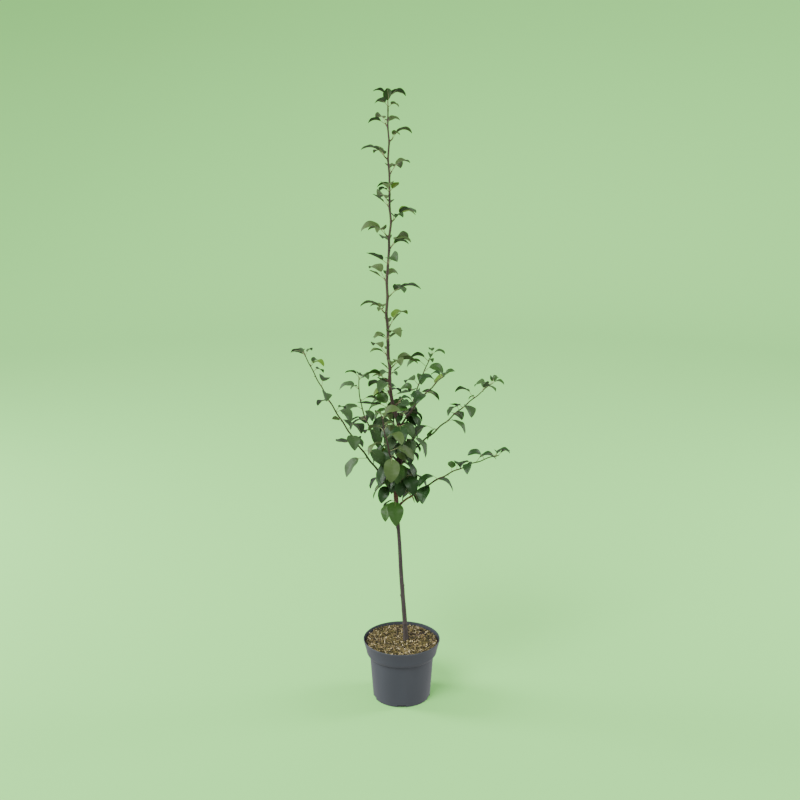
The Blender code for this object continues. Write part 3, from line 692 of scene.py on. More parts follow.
def bark_relief(height, turn, radius):
    """How far the bark stands out: upright fissures and warts low down, fine rings higher up."""
    low = min(max((ROUGH_BELOW - height) / ROUGH_FADE, 0), 1)
    x, y, _ = heading(turn) * RELIEF_WIDTH
    across, upright = FISSURE_WAVES
    fissure = noise.noise(Vector((x * across, y * across, height * upright)))
    wart = max(noise.noise(Vector((x, y, height * WART_WAVES))) - WART_LEVEL, 0)
    ring = noise.noise(Vector((*RING_PLACE, height * RING_WAVES)))
    rough = radius * (FISSURE_DEPTH * fissure + WART_HEIGHT * wart)
    return rough * (ROUGH_LEAST + (1 - ROUGH_LEAST) * low) + RING_HEIGHT * ring


def knot_relief(height, turn):
    """How far the scars of old buds stand out on the bare lower trunk."""
    rise = 0
    for knot, side in knots:
        aside = (turn - side + 180) % 360 - 180
        near = ((height - knot) / KNOT_HALF_HEIGHT) ** 2 + (aside / KNOT_HALF_TURN) ** 2
        rise = max(rise, KNOT_RISE * math.exp(-near))
    return rise


knot_draw = random.Random(KNOT_SEED)
knots = []
for number in range(KNOTS):
    height = KNOT_FOOT + KNOT_STEP * number + knot_draw.uniform(-KNOT_DRIFT, KNOT_DRIFT)
    knots.append((height, SPIRAL_TURN * number - 90))
trunk = ringed_cylinder("pear_trunk", TRUNK_FINE_SIDES, TRUNK_RINGS, TRUNK_RING_CUTS)
trunk_foot = SOIL_TOP - TRUNK_SINK
for point in trunk.data.vertices:
    height = trunk_foot + (TRUNK_TIP - trunk_foot) * point.co.z
    turn = math.degrees(math.atan2(point.co.y, point.co.x))
    radius = trunk_radius(height)
    flare = max(SOIL_TOP + FLARE_HEIGHT - height, 0) / FLARE_HEIGHT
    lobes = math.cos(math.radians(turn * FLARE_LOBES + FLARE_TURN))
    lobes += FLARE_FINE_SHARE * math.cos(math.radians(turn * FLARE_FINE_LOBES))
    radius *= 1 + FLARE_DEPTH * lobes * flare
    radius += bark_relief(height, turn, radius) + knot_relief(height, turn)
    spread = math.hypot(point.co.x, point.co.y)
    point.co = trunk_axis(height) + heading(turn) * radius * min(spread, 1)

# Bark colours from the foot to the tip, each with where it starts and is full up the tree.
LOW_BARK = (0.062, 0.052, 0.047)
CROWN_BARK = (0.062, 0.034, 0.024)
TIP_BARK = (0.075, 0.060, 0.034)
ORANGE_BARK = (0.220, 0.095, 0.030)
DARK_BARK = (0.020, 0.014, 0.012)
LENTICEL = (0.260, 0.200, 0.150)
TRUNK_LENTICELS = 230
CROWN_BARK_SPAN = (0.30, 0.42)
TIP_BARK_SPAN = (0.52, 0.72)
CLIMB_CLOUD = 0.10
ORANGE_HEIGHT = 0.393
ORANGE_NARROWNESS = 62
ORANGE_SPAN = (0.35, 0.6)
ORANGE_SHARE = 0.85
BARK_CLOUD = (55, 4, (1, 1, 0.25))
BARK_GRAIN = (420, 5, (1, 1, 0.12))
DARK_CLOUD_SPAN = (0.52, 0.74)
DARK_CLOUD_SHARE = 0.6
DARK_GRAIN_SPAN = (0.5, 0.8)
DARK_GRAIN_SHARE = 0.35
PORE_STRETCH = (0.5, 0.5, 1.3)
PORE_SPAN = (0.07, 0.15)
PORE_SHARE = 0.75
PORE_LIFT = 0.8
BARK_ROUGHNESS = 0.50
BARK_ROUGHNESS_GRAIN = 0.30
BARK_DEPTH = 0.00025


def bark(name, low, high, lenticels):
    """Young pear bark that goes from one colour to another up the tree, with darker clouding,
    fine upright grain, and pale lenticels set crosswise."""
    finish = Finish(name, low, BARK_ROUGHNESS)
    height = finish.add("ShaderNodeSeparateXYZ", {}, {0: finish.place()}, "Z")
    cloud = finish.grain(*BARK_CLOUD)
    grain = finish.grain(*BARK_GRAIN)
    stretched = {"Vector": finish.place(), "Scale": PORE_STRETCH}
    spread = finish.add("ShaderNodeMapping", {}, stretched)
    cells = {"Vector": spread, "Scale": lenticels, "Randomness": 1.0}
    pores = finish.add("ShaderNodeTexVoronoi", {"feature": "F1"}, cells, "Distance")
    pore = 1 - pores.clamped(*PORE_SPAN)
    climb = height + cloud * CLIMB_CLOUD - CLIMB_CLOUD / 2
    colour = finish.mix(climb.clamped(*CROWN_BARK_SPAN), (*low, 1), (*CROWN_BARK, 1))
    colour = finish.mix(climb.clamped(*TIP_BARK_SPAN), colour, (*high, 1))
    near = (height - ORANGE_HEIGHT) * ORANGE_NARROWNESS
    band = (1 - near * near).clamped(0, 1) * cloud.clamped(*ORANGE_SPAN)
    colour = finish.mix(band * ORANGE_SHARE, colour, (*ORANGE_BARK, 1))
    clouded = cloud.clamped(*DARK_CLOUD_SPAN) * DARK_CLOUD_SHARE
    colour = finish.mix(clouded, colour, (*DARK_BARK, 1))
    grained = grain.clamped(*DARK_GRAIN_SPAN) * DARK_GRAIN_SHARE
    colour = finish.mix(grained, colour, (*DARK_BARK, 1))
    colour = finish.mix(pore * PORE_SHARE, colour, (*LENTICEL, 1))
    finish.set("Base Color", colour)
    finish.set("Roughness", BARK_ROUGHNESS + grain * BARK_ROUGHNESS_GRAIN)
    finish.bump(grain + pore * PORE_LIFT, BARK_DEPTH)
    return finish


trunk_bark = bark("trunk_bark", LOW_BARK, TIP_BARK, TRUNK_LENTICELS)
smooth(trunk, BARK_CREASE)
settle(trunk, trunk_bark, "trunk_bark", "trunk")


# Boughs
# Eight slender side shoots, each one tapering limb with a slight zigzag that bends evenly and runs
# on through its leafy part to its tip. Thin smooth reddish-brown bark with small buds.
BOUGHS = (
    ("left_long", 0.400, -160, 51, 66, 0.306, 0.24, 90),
    ("left_short", 0.454, 143, 22, 95, 0.178, 0.30, 92),
    ("right_steep", 0.491, 58, 63, 42, 0.167, 0.24, 92),
    ("right_upper", 0.517, -34, 57, 41, 0.135, 0.22, 50),
    ("right_long", 0.456, 20, 37, 35, 0.212, 0.24, 113),
    ("right_low", 0.370, -25, 43, 22, 0.223, 0.12, 53),
    ("front", 0.428, -104, 46, 62, 0.172, 0.26, 50),
    ("back", 0.442, 98, 44, 66, 0.182, 0.26, 3),
)
BOUGH_RADIUS = 0.0021
BOUGH_TIP_RADIUS = 0.00085
BOUGH_RING_STEP = 0.018
BOUGH_KINK = 0.0009
BOUGH_TAPER = 0.8
BOUGH_SIDES = 6
LONGEST_BOUGH = 0.3
SHORT_BOUGH_SHARE = 0.75
SEAT_PROBES = 3
SEAT_PROBE_STEP = 0.6
NEARLY_UPRIGHT = 0.99
BOUGH_FINE_SIDES = 14
BOUGH_FINE_STEP = 0.003
LEAST_STEPS = 4
BOUGH_COLLAR = 0.0055
BOUGH_COLLAR_SWELL = 0.55
BOUGH_SEAT = 0.5
BOUGH_LENTICELS = 330
BOUGH_TIP_BARK = (0.120, 0.100, 0.062)


def seat_on_trunk(height, turn, rise, radius):
    """The point where a limb starts, just clear of the trunk, on a line that leaves the trunk's
    axis at a height and rises at the limb's own angle."""
    out = heading(turn)
    centre = trunk_axis(height)
    climb = math.tan(math.radians(rise))
    middle = height + trunk_radius(height) * climb
    reach = 0
    for step in range(-SEAT_PROBES, SEAT_PROBES + 1):
        near = middle + step * radius * SEAT_PROBE_STEP
        reach = max(reach, (trunk_axis(near) - centre).dot(out) + trunk_radius(near))
    return centre + (out + Vector((0, 0, climb))) * (reach + GAP)


def limb_course(start, turn, rise_root, rise_tip, length, step, kink, draw):
    """Points along a limb that bends evenly from one rise to another, with a slight zigzag."""
    count = max(round(length / step), 2)
    points = [start]
    here = start.copy()
    for number in range(count):
        rise = math.radians(rise_root + (rise_tip - rise_root) * (number + 0.5) / count)
        ahead = heading(turn) * math.cos(rise) + Vector((0, 0, 1)) * math.sin(rise)
        here = here + ahead * (length / count)
        sideways = heading(turn + 90) * kink * draw.uniform(-1, 1)
        upwards = Vector((0, 0, kink)) * (-1) ** number
        points.append(here + sideways + upwards)
    return points


def split_course(points, share):
    """The course in two at a share of its length, with the gap between solids left open."""
    split = max(round(share * (len(points) - 1)), 1)
    onward = (points[split + 1] - points[split]).normalized()
    return points[: split + 1], [points[split] + onward * GAP] + points[split + 1 :]


def bough_radius(length, along):
    """A bough's radius at a distance along it."""
    share = SHORT_BOUGH_SHARE + (1 - SHORT_BOUGH_SHARE) * length / LONGEST_BOUGH
    root = BOUGH_RADIUS * share
    return root + (BOUGH_TIP_RADIUS - root) * (along / length) ** BOUGH_TAPER


def tube(points, radii, sides, first_facing=None, shape=None):
    """A closed tapering tube through the points. Its first end can be cut square to a given way."""
    shape = shape or bmesh.new()
    rings = []
    across = None
    for index, point in enumerate(points):
        ahead = points[min(index + 1, len(points) - 1)]
        behind = points[max(index - 1, 0)]
        along = (ahead - behind).normalized()
        if across is None:
            beside = Vector((0, 0, 1)) if along.z < NEARLY_UPRIGHT else Vector((0, 1, 0))
            across = along.cross(beside).normalized()
        across = (across - along * across.dot(along)).normalized()
        up = across.cross(along)
        ring = []
        for side in range(sides):
            turn = 2 * math.pi * side / sides
            offset = (across * math.cos(turn) + up * math.sin(turn)) * radii[index]
            if index == 0 and first_facing:
                offset -= along * (offset.dot(first_facing) / along.dot(first_facing))
            ring.append(shape.verts.new(point + offset))
        rings.append(ring)
    for lower, upper in zip(rings, rings[1:]):
        for side in range(sides):
            after = (side + 1) % sides
            shape.faces.new((lower[side], lower[after], upper[after], upper[side]))
    shape.faces.new(rings[0])
    shape.faces.new(rings[-1])
    return shape


def smooth_course(points, at):
    """A point at a share of a course, on a smooth curve through its points."""
    rows = [(index / (len(points) - 1), *point) for index, point in enumerate(points)]
    return Vector(blend(rows, at))


def fine_course(points, step):
    """The course again with closer points on a smooth curve."""
    length = sum((end - start).length for start, end in zip(points, points[1:]))
    count = max(round(length / step), LEAST_STEPS)
    return [smooth_course(points, number / count) for number in range(count + 1)]


def bough_course(bough):
    """The points along a bough, as far as its tip."""
    name, height, turn, rise_root, rise_tip, length, bare, seed = bough
    draw = random.Random(seed)
    start = seat_on_trunk(height, turn, rise_root, BOUGH_RADIUS)
    return limb_course(
        start, turn, rise_root, rise_tip, length, BOUGH_RING_STEP, BOUGH_KINK, draw
    )


def tree_of(node):
    """The node's solid, for overlap tests."""
    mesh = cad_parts[node].data
    points = [point.co for point in mesh.vertices]
    return BVHTree.FromPolygons(points, [tuple(face.vertices) for face in mesh.polygons])


shoot_bark = bark("shoot_bark", CROWN_BARK, BOUGH_TIP_BARK, BOUGH_LENTICELS)
rooms = [tree_of("trunk")]
shoots = []
for bough in BOUGHS:
    name, height, turn, rise, _, length, bare, _ = bough
    course = bough_course(bough)
    rooms.append(tree_of("bough_" + name))
    last = len(course) - 1
    radii = [bough_radius(length, length * step / last) for step in range(last + 1)]
    _, shoot = split_course(course, bare)
    shoots.append((shoot, radii[len(course) - len(shoot) :]))
    inward = trunk_axis(height) - course[0]
    seat = course[0] + inward.normalized() * trunk_radius(height) * BOUGH_SEAT
    fine = [seat] + fine_course(course, BOUGH_FINE_STEP)
    fine_radii = []
    for index in range(len(fine)):
        along = length * max(index - 1, 0) / (len(fine) - 2)
        collar = 1 + BOUGH_COLLAR_SWELL * math.exp(-along / BOUGH_COLLAR)
        fine_radii.append(bough_radius(length, along) * collar)
    limb = joined("pear_bough_" + name, tube(fine, fine_radii, BOUGH_FINE_SIDES))
    smooth(limb, ROUND_CREASE)
    settle(limb, shoot_bark, "shoot_bark", "bough_" + name)


# Leaves and spurs
# Leaves grow by the two fifths spiral: one or two at each node of a bough, a tuft at its end, and
# a fan on each short spur of the trunk. Low ones are large and hang, those up the leader are small
# and arch over. Each leaf is thin, folded along its rib, glossy above and pale below.
SHOOT_FIRST_NODE = 0.0065
SHOOT_NODE_STEP = 0.0185
NODE_STEP_SPREAD = (0.82, 1.18)
SHOOT_REACH = 0.062
SHOOT_FORWARD = 0.55
SHOOT_BLADE = 0.039
SHOOT_BLADE_TAPER = 0.30
HANGING_GAIN = 0.12
SECOND_LEAF_CHANCE = 0.35
SECOND_LEAF_SHIFT = 0.0026
SECOND_LEAF_TURN = 90
SECOND_LEAF_SIZE = (0.45, 0.7)
SHOOT_TUFT = 3
TUFT_BLADE = 0.024
TUFT_SIZE = (0.7, 1.0)
TUFT_TOP = 0.0012
TUFT_STEP = 0.0024
TUFT_FIRST_TURN = 45
TUFT_TURN = -100
CROWN_FOOT = 0.372
CROWN_CLUSTERS = 16
CROWN_FIRST_TURN = -95
CROWN_SPUR = 0.013
CROWN_SPUR_RADIUS = 0.0015
CROWN_LEAVES = ((0.372, 1.6), (0.412, 6.4), (0.490, 8.0), (0.584, 4.0))
CROWN_REACH = 0.085
CROWN_SEED = 680
LEADER_SPUR = 0.0065
LEADER_SPUR_RADIUS = 0.00115
LEADER_LEAVES = (3, 4)
LEADER_REACH = 0.066
TIP_STEM = 0.007
TIP_LEAVES = 4
TIP_BLADE = 0.025
TIP_BLADE_STEP = 0.0035
TIP_SEED = 584
TIP_FIRST_TURN = 30
SPUR_RISE = 38
SPUR_CURL = 15
SPUR_SPREAD = (0.85, 1.15)
SPUR_TAPER = (1, 0.9, 0.75)
SPUR_SIDES = 5
SPUR_BERTH = 1.8
SPUR_NUDGES = (0, 25, -25, 50, -50, 75, -75)
FIRST_LEAF_PLACE = 0.92
LEAF_PLACE_SPAN = 0.72
FAN_TURN = (28, 46)
SIDE_LEAF_SIZE = (0.55, 0.95)
BLADE_LENGTH = (
    (0.356, 0.049),
    (0.466, 0.047),
    (0.536, 0.042),
    (0.606, 0.037),
    (0.896, 0.036),
    (1.058, 0.028),
)
MIDRIB_STEPS = 12
SMALL_BLADE = 0.021
LARGE_BLADE = 0.037
SMALL_SECTIONS = (3, 8)
MIDDLING_SECTIONS = (2, 5, 9)
LARGE_SECTIONS = (1, 4, 7, 10)
BLADE_HALF_WIDTH = 0.28
BLADE_THICKNESS = 0.0008
PETIOLE_RADIUS = 0.00055
PETIOLE_SHARE = 0.40
LEAST_PETIOLE = 0.005
OUTLINE_LEAN = 0.8
OUTLINE_FULLNESS = 0.75
LEAF_CLEARANCE = 0.0004
ROOM_STANDOFF = 0.0014
ROOM_START_LIMIT = 0.7
LEAF_TRIES = 10
STALK_RISE = (48, 18)
BLADE_BEND = (4, 38)
TIP_RISE = (-46, -84)
RELATIVE_WIDTH = (0.84, 1.02)
FOLD = (0.36, 0.18)
HANGING_BELOW = 0.50
STIFF_ABOVE = 0.60
ERECT_CHANCE = 0.2
ERECT_BEND = 20
LENGTH_SPREAD = (0.90, 1.08)
RISE_SPREAD = (-14, 14)
TIP_SPREAD = (-16, 12)
TURN_SPREAD = (-20, 20)
ROLL_SPREAD = (-32, 32)
SWING_SPREAD = (-26, 26)
PETIOLE_SPREAD = (0.8, 1.2)
SHOOT_FLUSH = 4
CROWN_FLUSH = 12
LEADER_FLUSH = 3
FLUSH_SEED = 7
FLUSH_PLACE = (0.15, 0.95)
FLUSH_SIZE = (0.45, 0.95)
FLUSH_HANG = 0.6


def outline(share):
    """Half the width of a blade at a share of its length: egg-shaped with a drawn-out tip."""
    return math.sin(math.pi * share**OUTLINE_LEAN) ** OUTLINE_FULLNESS


def leaf_frame(turn, pitch, roll):
    """The leaf's ways along, across and up for its heading, pitch and roll."""
    out = heading(turn)
    angle = math.radians(pitch)
    lean = math.radians(roll)
    along = out * math.cos(angle) + Vector((0, 0, math.sin(angle)))
    face = Vector((0, 0, math.cos(angle))) - out * math.sin(angle)
    level = heading(turn + 90)
    across = level * math.cos(lean) + face * math.sin(lean)
    return along, across, face * math.cos(lean) - level * math.sin(lean)


def midrib(root, leaf, steps):
    """The end of the leaf's straight stalk, then even steps of the midrib, which bends down and
    aside along the blade. Each is a point and the frame there."""
    frame_here = leaf_frame(leaf["turn"], leaf["rise"], leaf["roll"])
    here = root + frame_here[0] * leaf["petiole"]
    places = [(here, frame_here)]
    start = leaf["rise"] - leaf["bend"]
    for step in range(steps):
        share = (step + 0.5) / steps
        pitch = start + (leaf["fall"] - start) * share
        frame_here = leaf_frame(leaf["turn"] + leaf["swing"] * share, pitch, leaf["roll"])
        here = here + frame_here[0] * leaf["blade"] / steps
        places.append((here, frame_here))
    return places


def leaf_section(centre, ways, half, thick, fold):
    """The left edge, the midrib above, the right edge and the midrib below."""
    _, across, up = ways
    lift = up * half * fold
    return (
        centre + across * half + lift,
        centre + up * thick,
        centre - across * half + lift,
        centre - up * thick,
    )


def leaf_sections(root, leaf, swell=0):
    """The few sections of a leaf that its overlap test uses."""
    places = midrib(root, leaf, MIDRIB_STEPS)
    stalk = PETIOLE_RADIUS + swell
    sections = [leaf_section(root, places[0][1], stalk, stalk, 0)]
    sections.append(leaf_section(*places[0], stalk, stalk, 0))
    steps = LARGE_SECTIONS if leaf["blade"] > LARGE_BLADE else MIDDLING_SECTIONS
    if leaf["blade"] < SMALL_BLADE:
        steps = SMALL_SECTIONS
    for step in steps:
        half = leaf["half_width"] * outline(step / MIDRIB_STEPS) + swell
        thick = BLADE_THICKNESS / 2 + swell
        sections.append(leaf_section(*places[step], half, thick, leaf["fold"]))
    sections.append(leaf_section(*places[-1], 0, 0, 0))
    return sections


def leaf_shape(sections):
    """A closed leaf through its sections, ending in one point at its tip."""
    shape = bmesh.new()
    rings = []
    for section in sections[:-1]:
        rings.append([shape.verts.new(corner) for corner in section])
    tip = shape.verts.new(sections[-1][0])
    for lower, upper in zip(rings, rings[1:]):
        for edge, rib in ((0, 1), (2, 1), (2, 3), (0, 3)):
            shape.faces.new((lower[edge], lower[rib], upper[rib]))
            shape.faces.new((lower[edge], upper[rib], upper[edge]))
    for side in range(4):
        shape.faces.new((rings[-1][side], rings[-1][(side + 1) % 4], tip))
    shape.faces.new(rings[0])
    return shape


def leaf_room(root, leaf, stem_radius):
    """A leaf swollen by its clearance, from just outside its stem on, for the overlap test."""
    sections = leaf_sections(root, leaf, LEAF_CLEARANCE)
    share = min((stem_radius + ROOM_STANDOFF) / leaf["petiole"], ROOM_START_LIMIT)
    start = []
    for inner, outer in zip(sections[0], sections[1]):
        start.append(inner.lerp(outer, share))
    shape = leaf_shape([start] + sections[1:])
    room = BVHTree.FromBMesh(shape)
    shape.free()
    return room


def between(pair, share):
    return pair[0] + (pair[1] - pair[0]) * share


def leaf_plan(draw, turn, blade, hang):
    """One leaf's sizes drawn about its heading and blade length. Hang runs from 0, a small stiff
    leaf that arches over or stands up, to 1, a large one that hangs."""
    length = blade * draw.uniform(*LENGTH_SPREAD)
    rise = between(STALK_RISE, hang) + draw.uniform(*RISE_SPREAD)
    fall = between(TIP_RISE, hang) + draw.uniform(*TIP_SPREAD)
    if draw.random() < ERECT_CHANCE * (1 - hang):
        fall = rise - ERECT_BEND
    return {
        "turn": turn + draw.uniform(*TURN_SPREAD),
        "rise": rise,
        "bend": between(BLADE_BEND, hang),
        "fall": fall,
        "roll": draw.uniform(*ROLL_SPREAD),
        "swing": draw.uniform(*SWING_SPREAD),
        "petiole": max(length * PETIOLE_SHARE * draw.uniform(*PETIOLE_SPREAD), LEAST_PETIOLE),
        "blade": length,
        "half_width": length * BLADE_HALF_WIDTH * between(RELATIVE_WIDTH, hang),
        "fold": between(FOLD, hang),
    }


def in_space(sections, spine, reach):
    """Whether a leaf keeps to its mass's own space, a reach round the mass's stem."""
    for section in sections:
        if min((section[1] - point).length for point in spine) > reach:
            return False
    return True


def spray_box(leaves):
    """The lowest and highest corner of the box round some leaves."""
    corners = []
    for root, leaf in leaves:
        for section in leaf_sections(root, leaf):
            corners += section
    low = [min(corner[axis] for corner in corners) for axis in range(3)]
    return low, [max(corner[axis] for corner in corners) for axis in range(3)]


def grow_leaf(draw, place, turn, blade, hang, space):
    """Tries a leaf a few times. Its root and plan come back where it keeps to its space and
    touches nothing, or else nothing does."""
    root, stem_radius = place
    for _ in range(LEAF_TRIES):
        leaf = leaf_plan(draw, turn, blade, hang)
        if not in_space(leaf_sections(root, leaf), *space):
            continue
        room = leaf_room(root, leaf, stem_radius)
        if any(room.overlap(other) for other in rooms):
            continue
        rooms.append(room)
        return [(root, leaf)]
    return []


def hang_at(height):
    """How much the leaves hang at a height on the trunk: fully low down, not at all higher up."""
    return min(max((STIFF_ABOVE - height) / (STIFF_ABOVE - HANGING_BELOW), 0), 1)


def place_on(course, distance):
    """The point and the way on at a distance along a course."""
    for start, end in zip(course, course[1:]):
        step = (end - start).length
        if distance <= step:
            break
        distance -= step
    return start.lerp(end, min(distance / step, 1)), (end - start) / step


def shoot_leaves(bough, course, radii):
    """The leaves of a bough's shoot, a leaf or two at each node of a spiral and a tuft at its tip,
    and the places of its buds."""
    name, _, turn, _, _, _, _, seed = bough
    draw = random.Random(seed)
    stem = tube(course, radii, BOUGH_SIDES)
    rooms.append(BVHTree.FromBMesh(stem))
    stem.free()
    total = sum((end - start).length for start, end in zip(course, course[1:]))
    space = (course, SHOOT_REACH)
    lowest_hang = hang_at(course[0].z)
    leaves = []
    buds = []
    distance = SHOOT_FIRST_NODE
    number = 0
    while distance < total:
        share = distance / total
        point, along = place_on(course, distance)
        radius = radii[0] + (radii[-1] - radii[0]) * share
        out = heading(turn + SPIRAL_TURN * number) + along * SHOOT_FORWARD
        leaf_turn = math.degrees(math.atan2(out.y, out.x))
        buds.append((point, radius, along, leaf_turn))
        hang = lowest_hang * (1 - share)
        blade = SHOOT_BLADE * (1 - SHOOT_BLADE_TAPER * share) * (1 + HANGING_GAIN * hang)
        leaves += grow_leaf(draw, (point, radius), leaf_turn, blade, hang, space)
        if draw.random() < SECOND_LEAF_CHANCE:
            beside = point + along * SECOND_LEAF_SHIFT
            side_turn = leaf_turn + SECOND_LEAF_TURN
            small = blade * draw.uniform(*SECOND_LEAF_SIZE)
            leaves += grow_leaf(draw, (beside, radius), side_turn, small, hang, space)
        number += 1
        distance += SHOOT_NODE_STEP * draw.uniform(*NODE_STEP_SPREAD)
    for number in range(SHOOT_TUFT):
        root, _ = place_on(course, total - TUFT_TOP - TUFT_STEP * number)
        leaf_turn = turn + TUFT_FIRST_TURN + TUFT_TURN * number
        blade = TUFT_BLADE * draw.uniform(*TUFT_SIZE)
        leaves += grow_leaf(draw, (root, radii[-1]), leaf_turn, blade, 0, space)
    return leaves, buds


def cluster_leaves(node, spur, radius, count, reach, seed):
    """The leaves of a short spur on the trunk, the first straight out and the rest beside, and the
    spur's course. A spur that would meet something other than the trunk is turned aside."""
    height, turn = node
    draw = random.Random(seed)
    hang = hang_at(height)
    length = spur * draw.uniform(*SPUR_SPREAD)
    for nudge in SPUR_NUDGES:
        start = seat_on_trunk(height, turn + nudge, SPUR_RISE, radius)
        top_rise = SPUR_RISE + SPUR_CURL
        course = limb_course(start, turn + nudge, SPUR_RISE, top_rise, length, length / 2, 0, draw)
        berth = tube(course, [radius * SPUR_BERTH] * len(course), SPUR_SIDES)
        wide_room = BVHTree.FromBMesh(berth)
        berth.free()
        if not any(wide_room.overlap(other) for other in rooms[1:]):
            break
    turn += nudge
    stem = tube(course, [radius * share for share in SPUR_TAPER], SPUR_SIDES, heading(turn))
    rooms.append(BVHTree.FromBMesh(stem))
    stem.free()
    blade = blend(BLADE_LENGTH, height)[0]
    leaves = []
    for number in range(count):
        place = FIRST_LEAF_PLACE - LEAF_PLACE_SPAN * number / count
        root, _ = place_on(course, length * place)
        fan = (number + 1) // 2 * (-1) ** number * draw.uniform(*FAN_TURN)
        size = blade if number == 0 else blade * draw.uniform(*SIDE_LEAF_SIZE)
        leaves += grow_leaf(draw, (root, radius), turn + fan, size, hang, (course, reach))
    return leaves, course


def tip_leaves():
    """The small upright leaves at the leader's tip, and the course of its last soft stretch."""
    draw = random.Random(TIP_SEED)
    start = trunk_axis(TRUNK_TIP) + Vector((0, 0, GAP))
    radius = trunk_radius(TRUNK_TIP)
    course = [start + Vector((0, 0, TIP_STEM * share)) for share in (0, 0.5, 1)]
    stem = tube(course, [radius * share for share in SPUR_TAPER], SPUR_SIDES, Vector((0, 0, 1)))
    rooms.append(BVHTree.FromBMesh(stem))
    stem.free()
    leaves = []
    for number in range(TIP_LEAVES):
        place = FIRST_LEAF_PLACE - LEAF_PLACE_SPAN * number / TIP_LEAVES
        root, _ = place_on(course, TIP_STEM * place)
        turn = TIP_FIRST_TURN + SPIRAL_TURN * number
        blade = TIP_BLADE - TIP_BLADE_STEP * number
        leaves += grow_leaf(draw, (root, radius), turn, blade, 0, (course, LEADER_REACH))
    return leaves, course


# Each spray is its name, its place up the tree and its leaves, and each spur its course and radius.
# Each late flush is a spray's leaves, its stem, and the sizes for a few more leaves on it.
sprays = []
spurs = []
buds = []
flushes = []
for bough, (course, radii) in zip(BOUGHS, shoots):
    leaves, places = shoot_leaves(bough, course, radii)
    sprays.append(("shoot_" + bough[0], "shoot", leaves))
    buds += places
    hang = hang_at(course[0].z) * FLUSH_HANG
    flushes.append((leaves, course, radii[0], SHOOT_BLADE, hang, SHOOT_FLUSH))
for number in range(CROWN_CLUSTERS):
    height = CROWN_FOOT + (CROWN_TOP - CROWN_FOOT) * number / (CROWN_CLUSTERS - 1)
    node = (height, CROWN_FIRST_TURN + SPIRAL_TURN * number)
    count = round(blend(CROWN_LEAVES, height)[0])
    leaves, course = cluster_leaves(
        node, CROWN_SPUR, CROWN_SPUR_RADIUS, count, CROWN_REACH, CROWN_SEED + number
    )
    sprays.append((f"crown_cluster_{number + 1:02}", "crown", leaves))
    spurs.append((course, CROWN_SPUR_RADIUS))
    blade = blend(BLADE_LENGTH, height)[0]
    flushes.append((leaves, course, CROWN_SPUR_RADIUS, blade, hang_at(height), CROWN_FLUSH))
for number, node in enumerate(LEADER_PLACES):
    count = LEADER_LEAVES[number % 2]
    leaves, course = cluster_leaves(
        node, LEADER_SPUR, LEADER_SPUR_RADIUS, count, LEADER_REACH, LEADER_SEED + number
    )
    sprays.append((f"leader_cluster_{number + 1:02}", "leader", leaves))
    spurs.append((course, LEADER_SPUR_RADIUS))
    blade = blend(BLADE_LENGTH, node[0])[0]
    flushes.append((leaves, course, LEADER_SPUR_RADIUS, blade, 0, LEADER_FLUSH))
leaves, course = tip_leaves()
sprays.append(("leader_tip", "leader", leaves))
spurs.append((course, trunk_radius(TRUNK_TIP)))

flush_draw = random.Random(FLUSH_SEED)
for leaves, course, radius, blade, hang, count in flushes:
    low, high = spray_box(leaves)
    length = sum((end - start).length for start, end in zip(course, course[1:]))
    for _ in range(count):
        root, _ = place_on(course, length * flush_draw.uniform(*FLUSH_PLACE))
        size = blade * flush_draw.uniform(*FLUSH_SIZE)
        side = flush_draw.uniform(0, 360)
        late = grow_leaf(flush_draw, (root, radius), side, size, hang, (course, CROWN_REACH))
        if late:
            foot, top = spray_box(late)
            if all(low[axis] <= foot[axis] and top[axis] <= high[axis] for axis in range(3)):
                leaves += late
            else:
                rooms.pop()


# Spurs
# The short ringed stems that carry the leaf clusters, grown fast to the trunk, and the soft last
# stretch of the leader.
SPUR_FINE_SIDES = 10
SPUR_FINE_STEP = 0.0007
SPUR_RINGS = 0.10
SPUR_ROOT_WIDTH = 1.10
SPUR_NARROWING = 0.30
SPUR_SEAT = 1.6
SPUR_CREASE = 50
SPUR_BROWN = (0.105, 0.075, 0.042)
SPUR_ROUGHNESS = 0.7
shape = bmesh.new()
for course, radius in spurs:
    inward = (course[0] - course[1]).normalized()
    fine = [course[0] + inward * radius * SPUR_SEAT] + fine_course(course, SPUR_FINE_STEP)
    radii = []
    for index in range(len(fine)):
        share = max(index - 1, 0) / (len(fine) - 2)
        ring = SPUR_RINGS * (-1) ** index
        width = SPUR_ROOT_WIDTH - SPUR_NARROWING * share + ring * (1 - share)
        radii.append(radius * width)
    tube(fine, radii, SPUR_FINE_SIDES, None, shape)
leaf_spurs = joined("leaf_spurs", shape)
smooth(leaf_spurs, SPUR_CREASE)
settle(leaf_spurs, Finish("spur_bark", SPUR_BROWN, SPUR_ROUGHNESS), "shoot_bark")


# Buds
# A small pointed brown bud sits over each leaf along the boughs.
BUD_LENGTH = 0.0030
BUD_RADIUS = 0.00075
BUD_LIFT = 35
BUD_SEAT = 0.6
BUD_AHEAD = 0.0012
BUD_BROWN = (0.070, 0.034, 0.020)
BUD_ROUGHNESS = 0.5
BUD_PROFILE = ((0, 0.45), (0.25, 1.0), (0.55, 0.85), (0.85, 0.35), (1.0, 0.06))
BUD_SIDES = 7
shape = bmesh.new()
for point, radius, along, turn in buds:
    out = (heading(turn) - along * along.dot(heading(turn))).normalized()
    lean = math.radians(BUD_LIFT)
    ahead = out * math.sin(lean) + along * math.cos(lean)
    root = point + out * radius * BUD_SEAT + along * BUD_AHEAD
    points = [root + ahead * BUD_LENGTH * share for share, _ in BUD_PROFILE]
    tube(points, [BUD_RADIUS * width for _, width in BUD_PROFILE], BUD_SIDES, None, shape)
bough_buds = joined("bough_buds", shape)
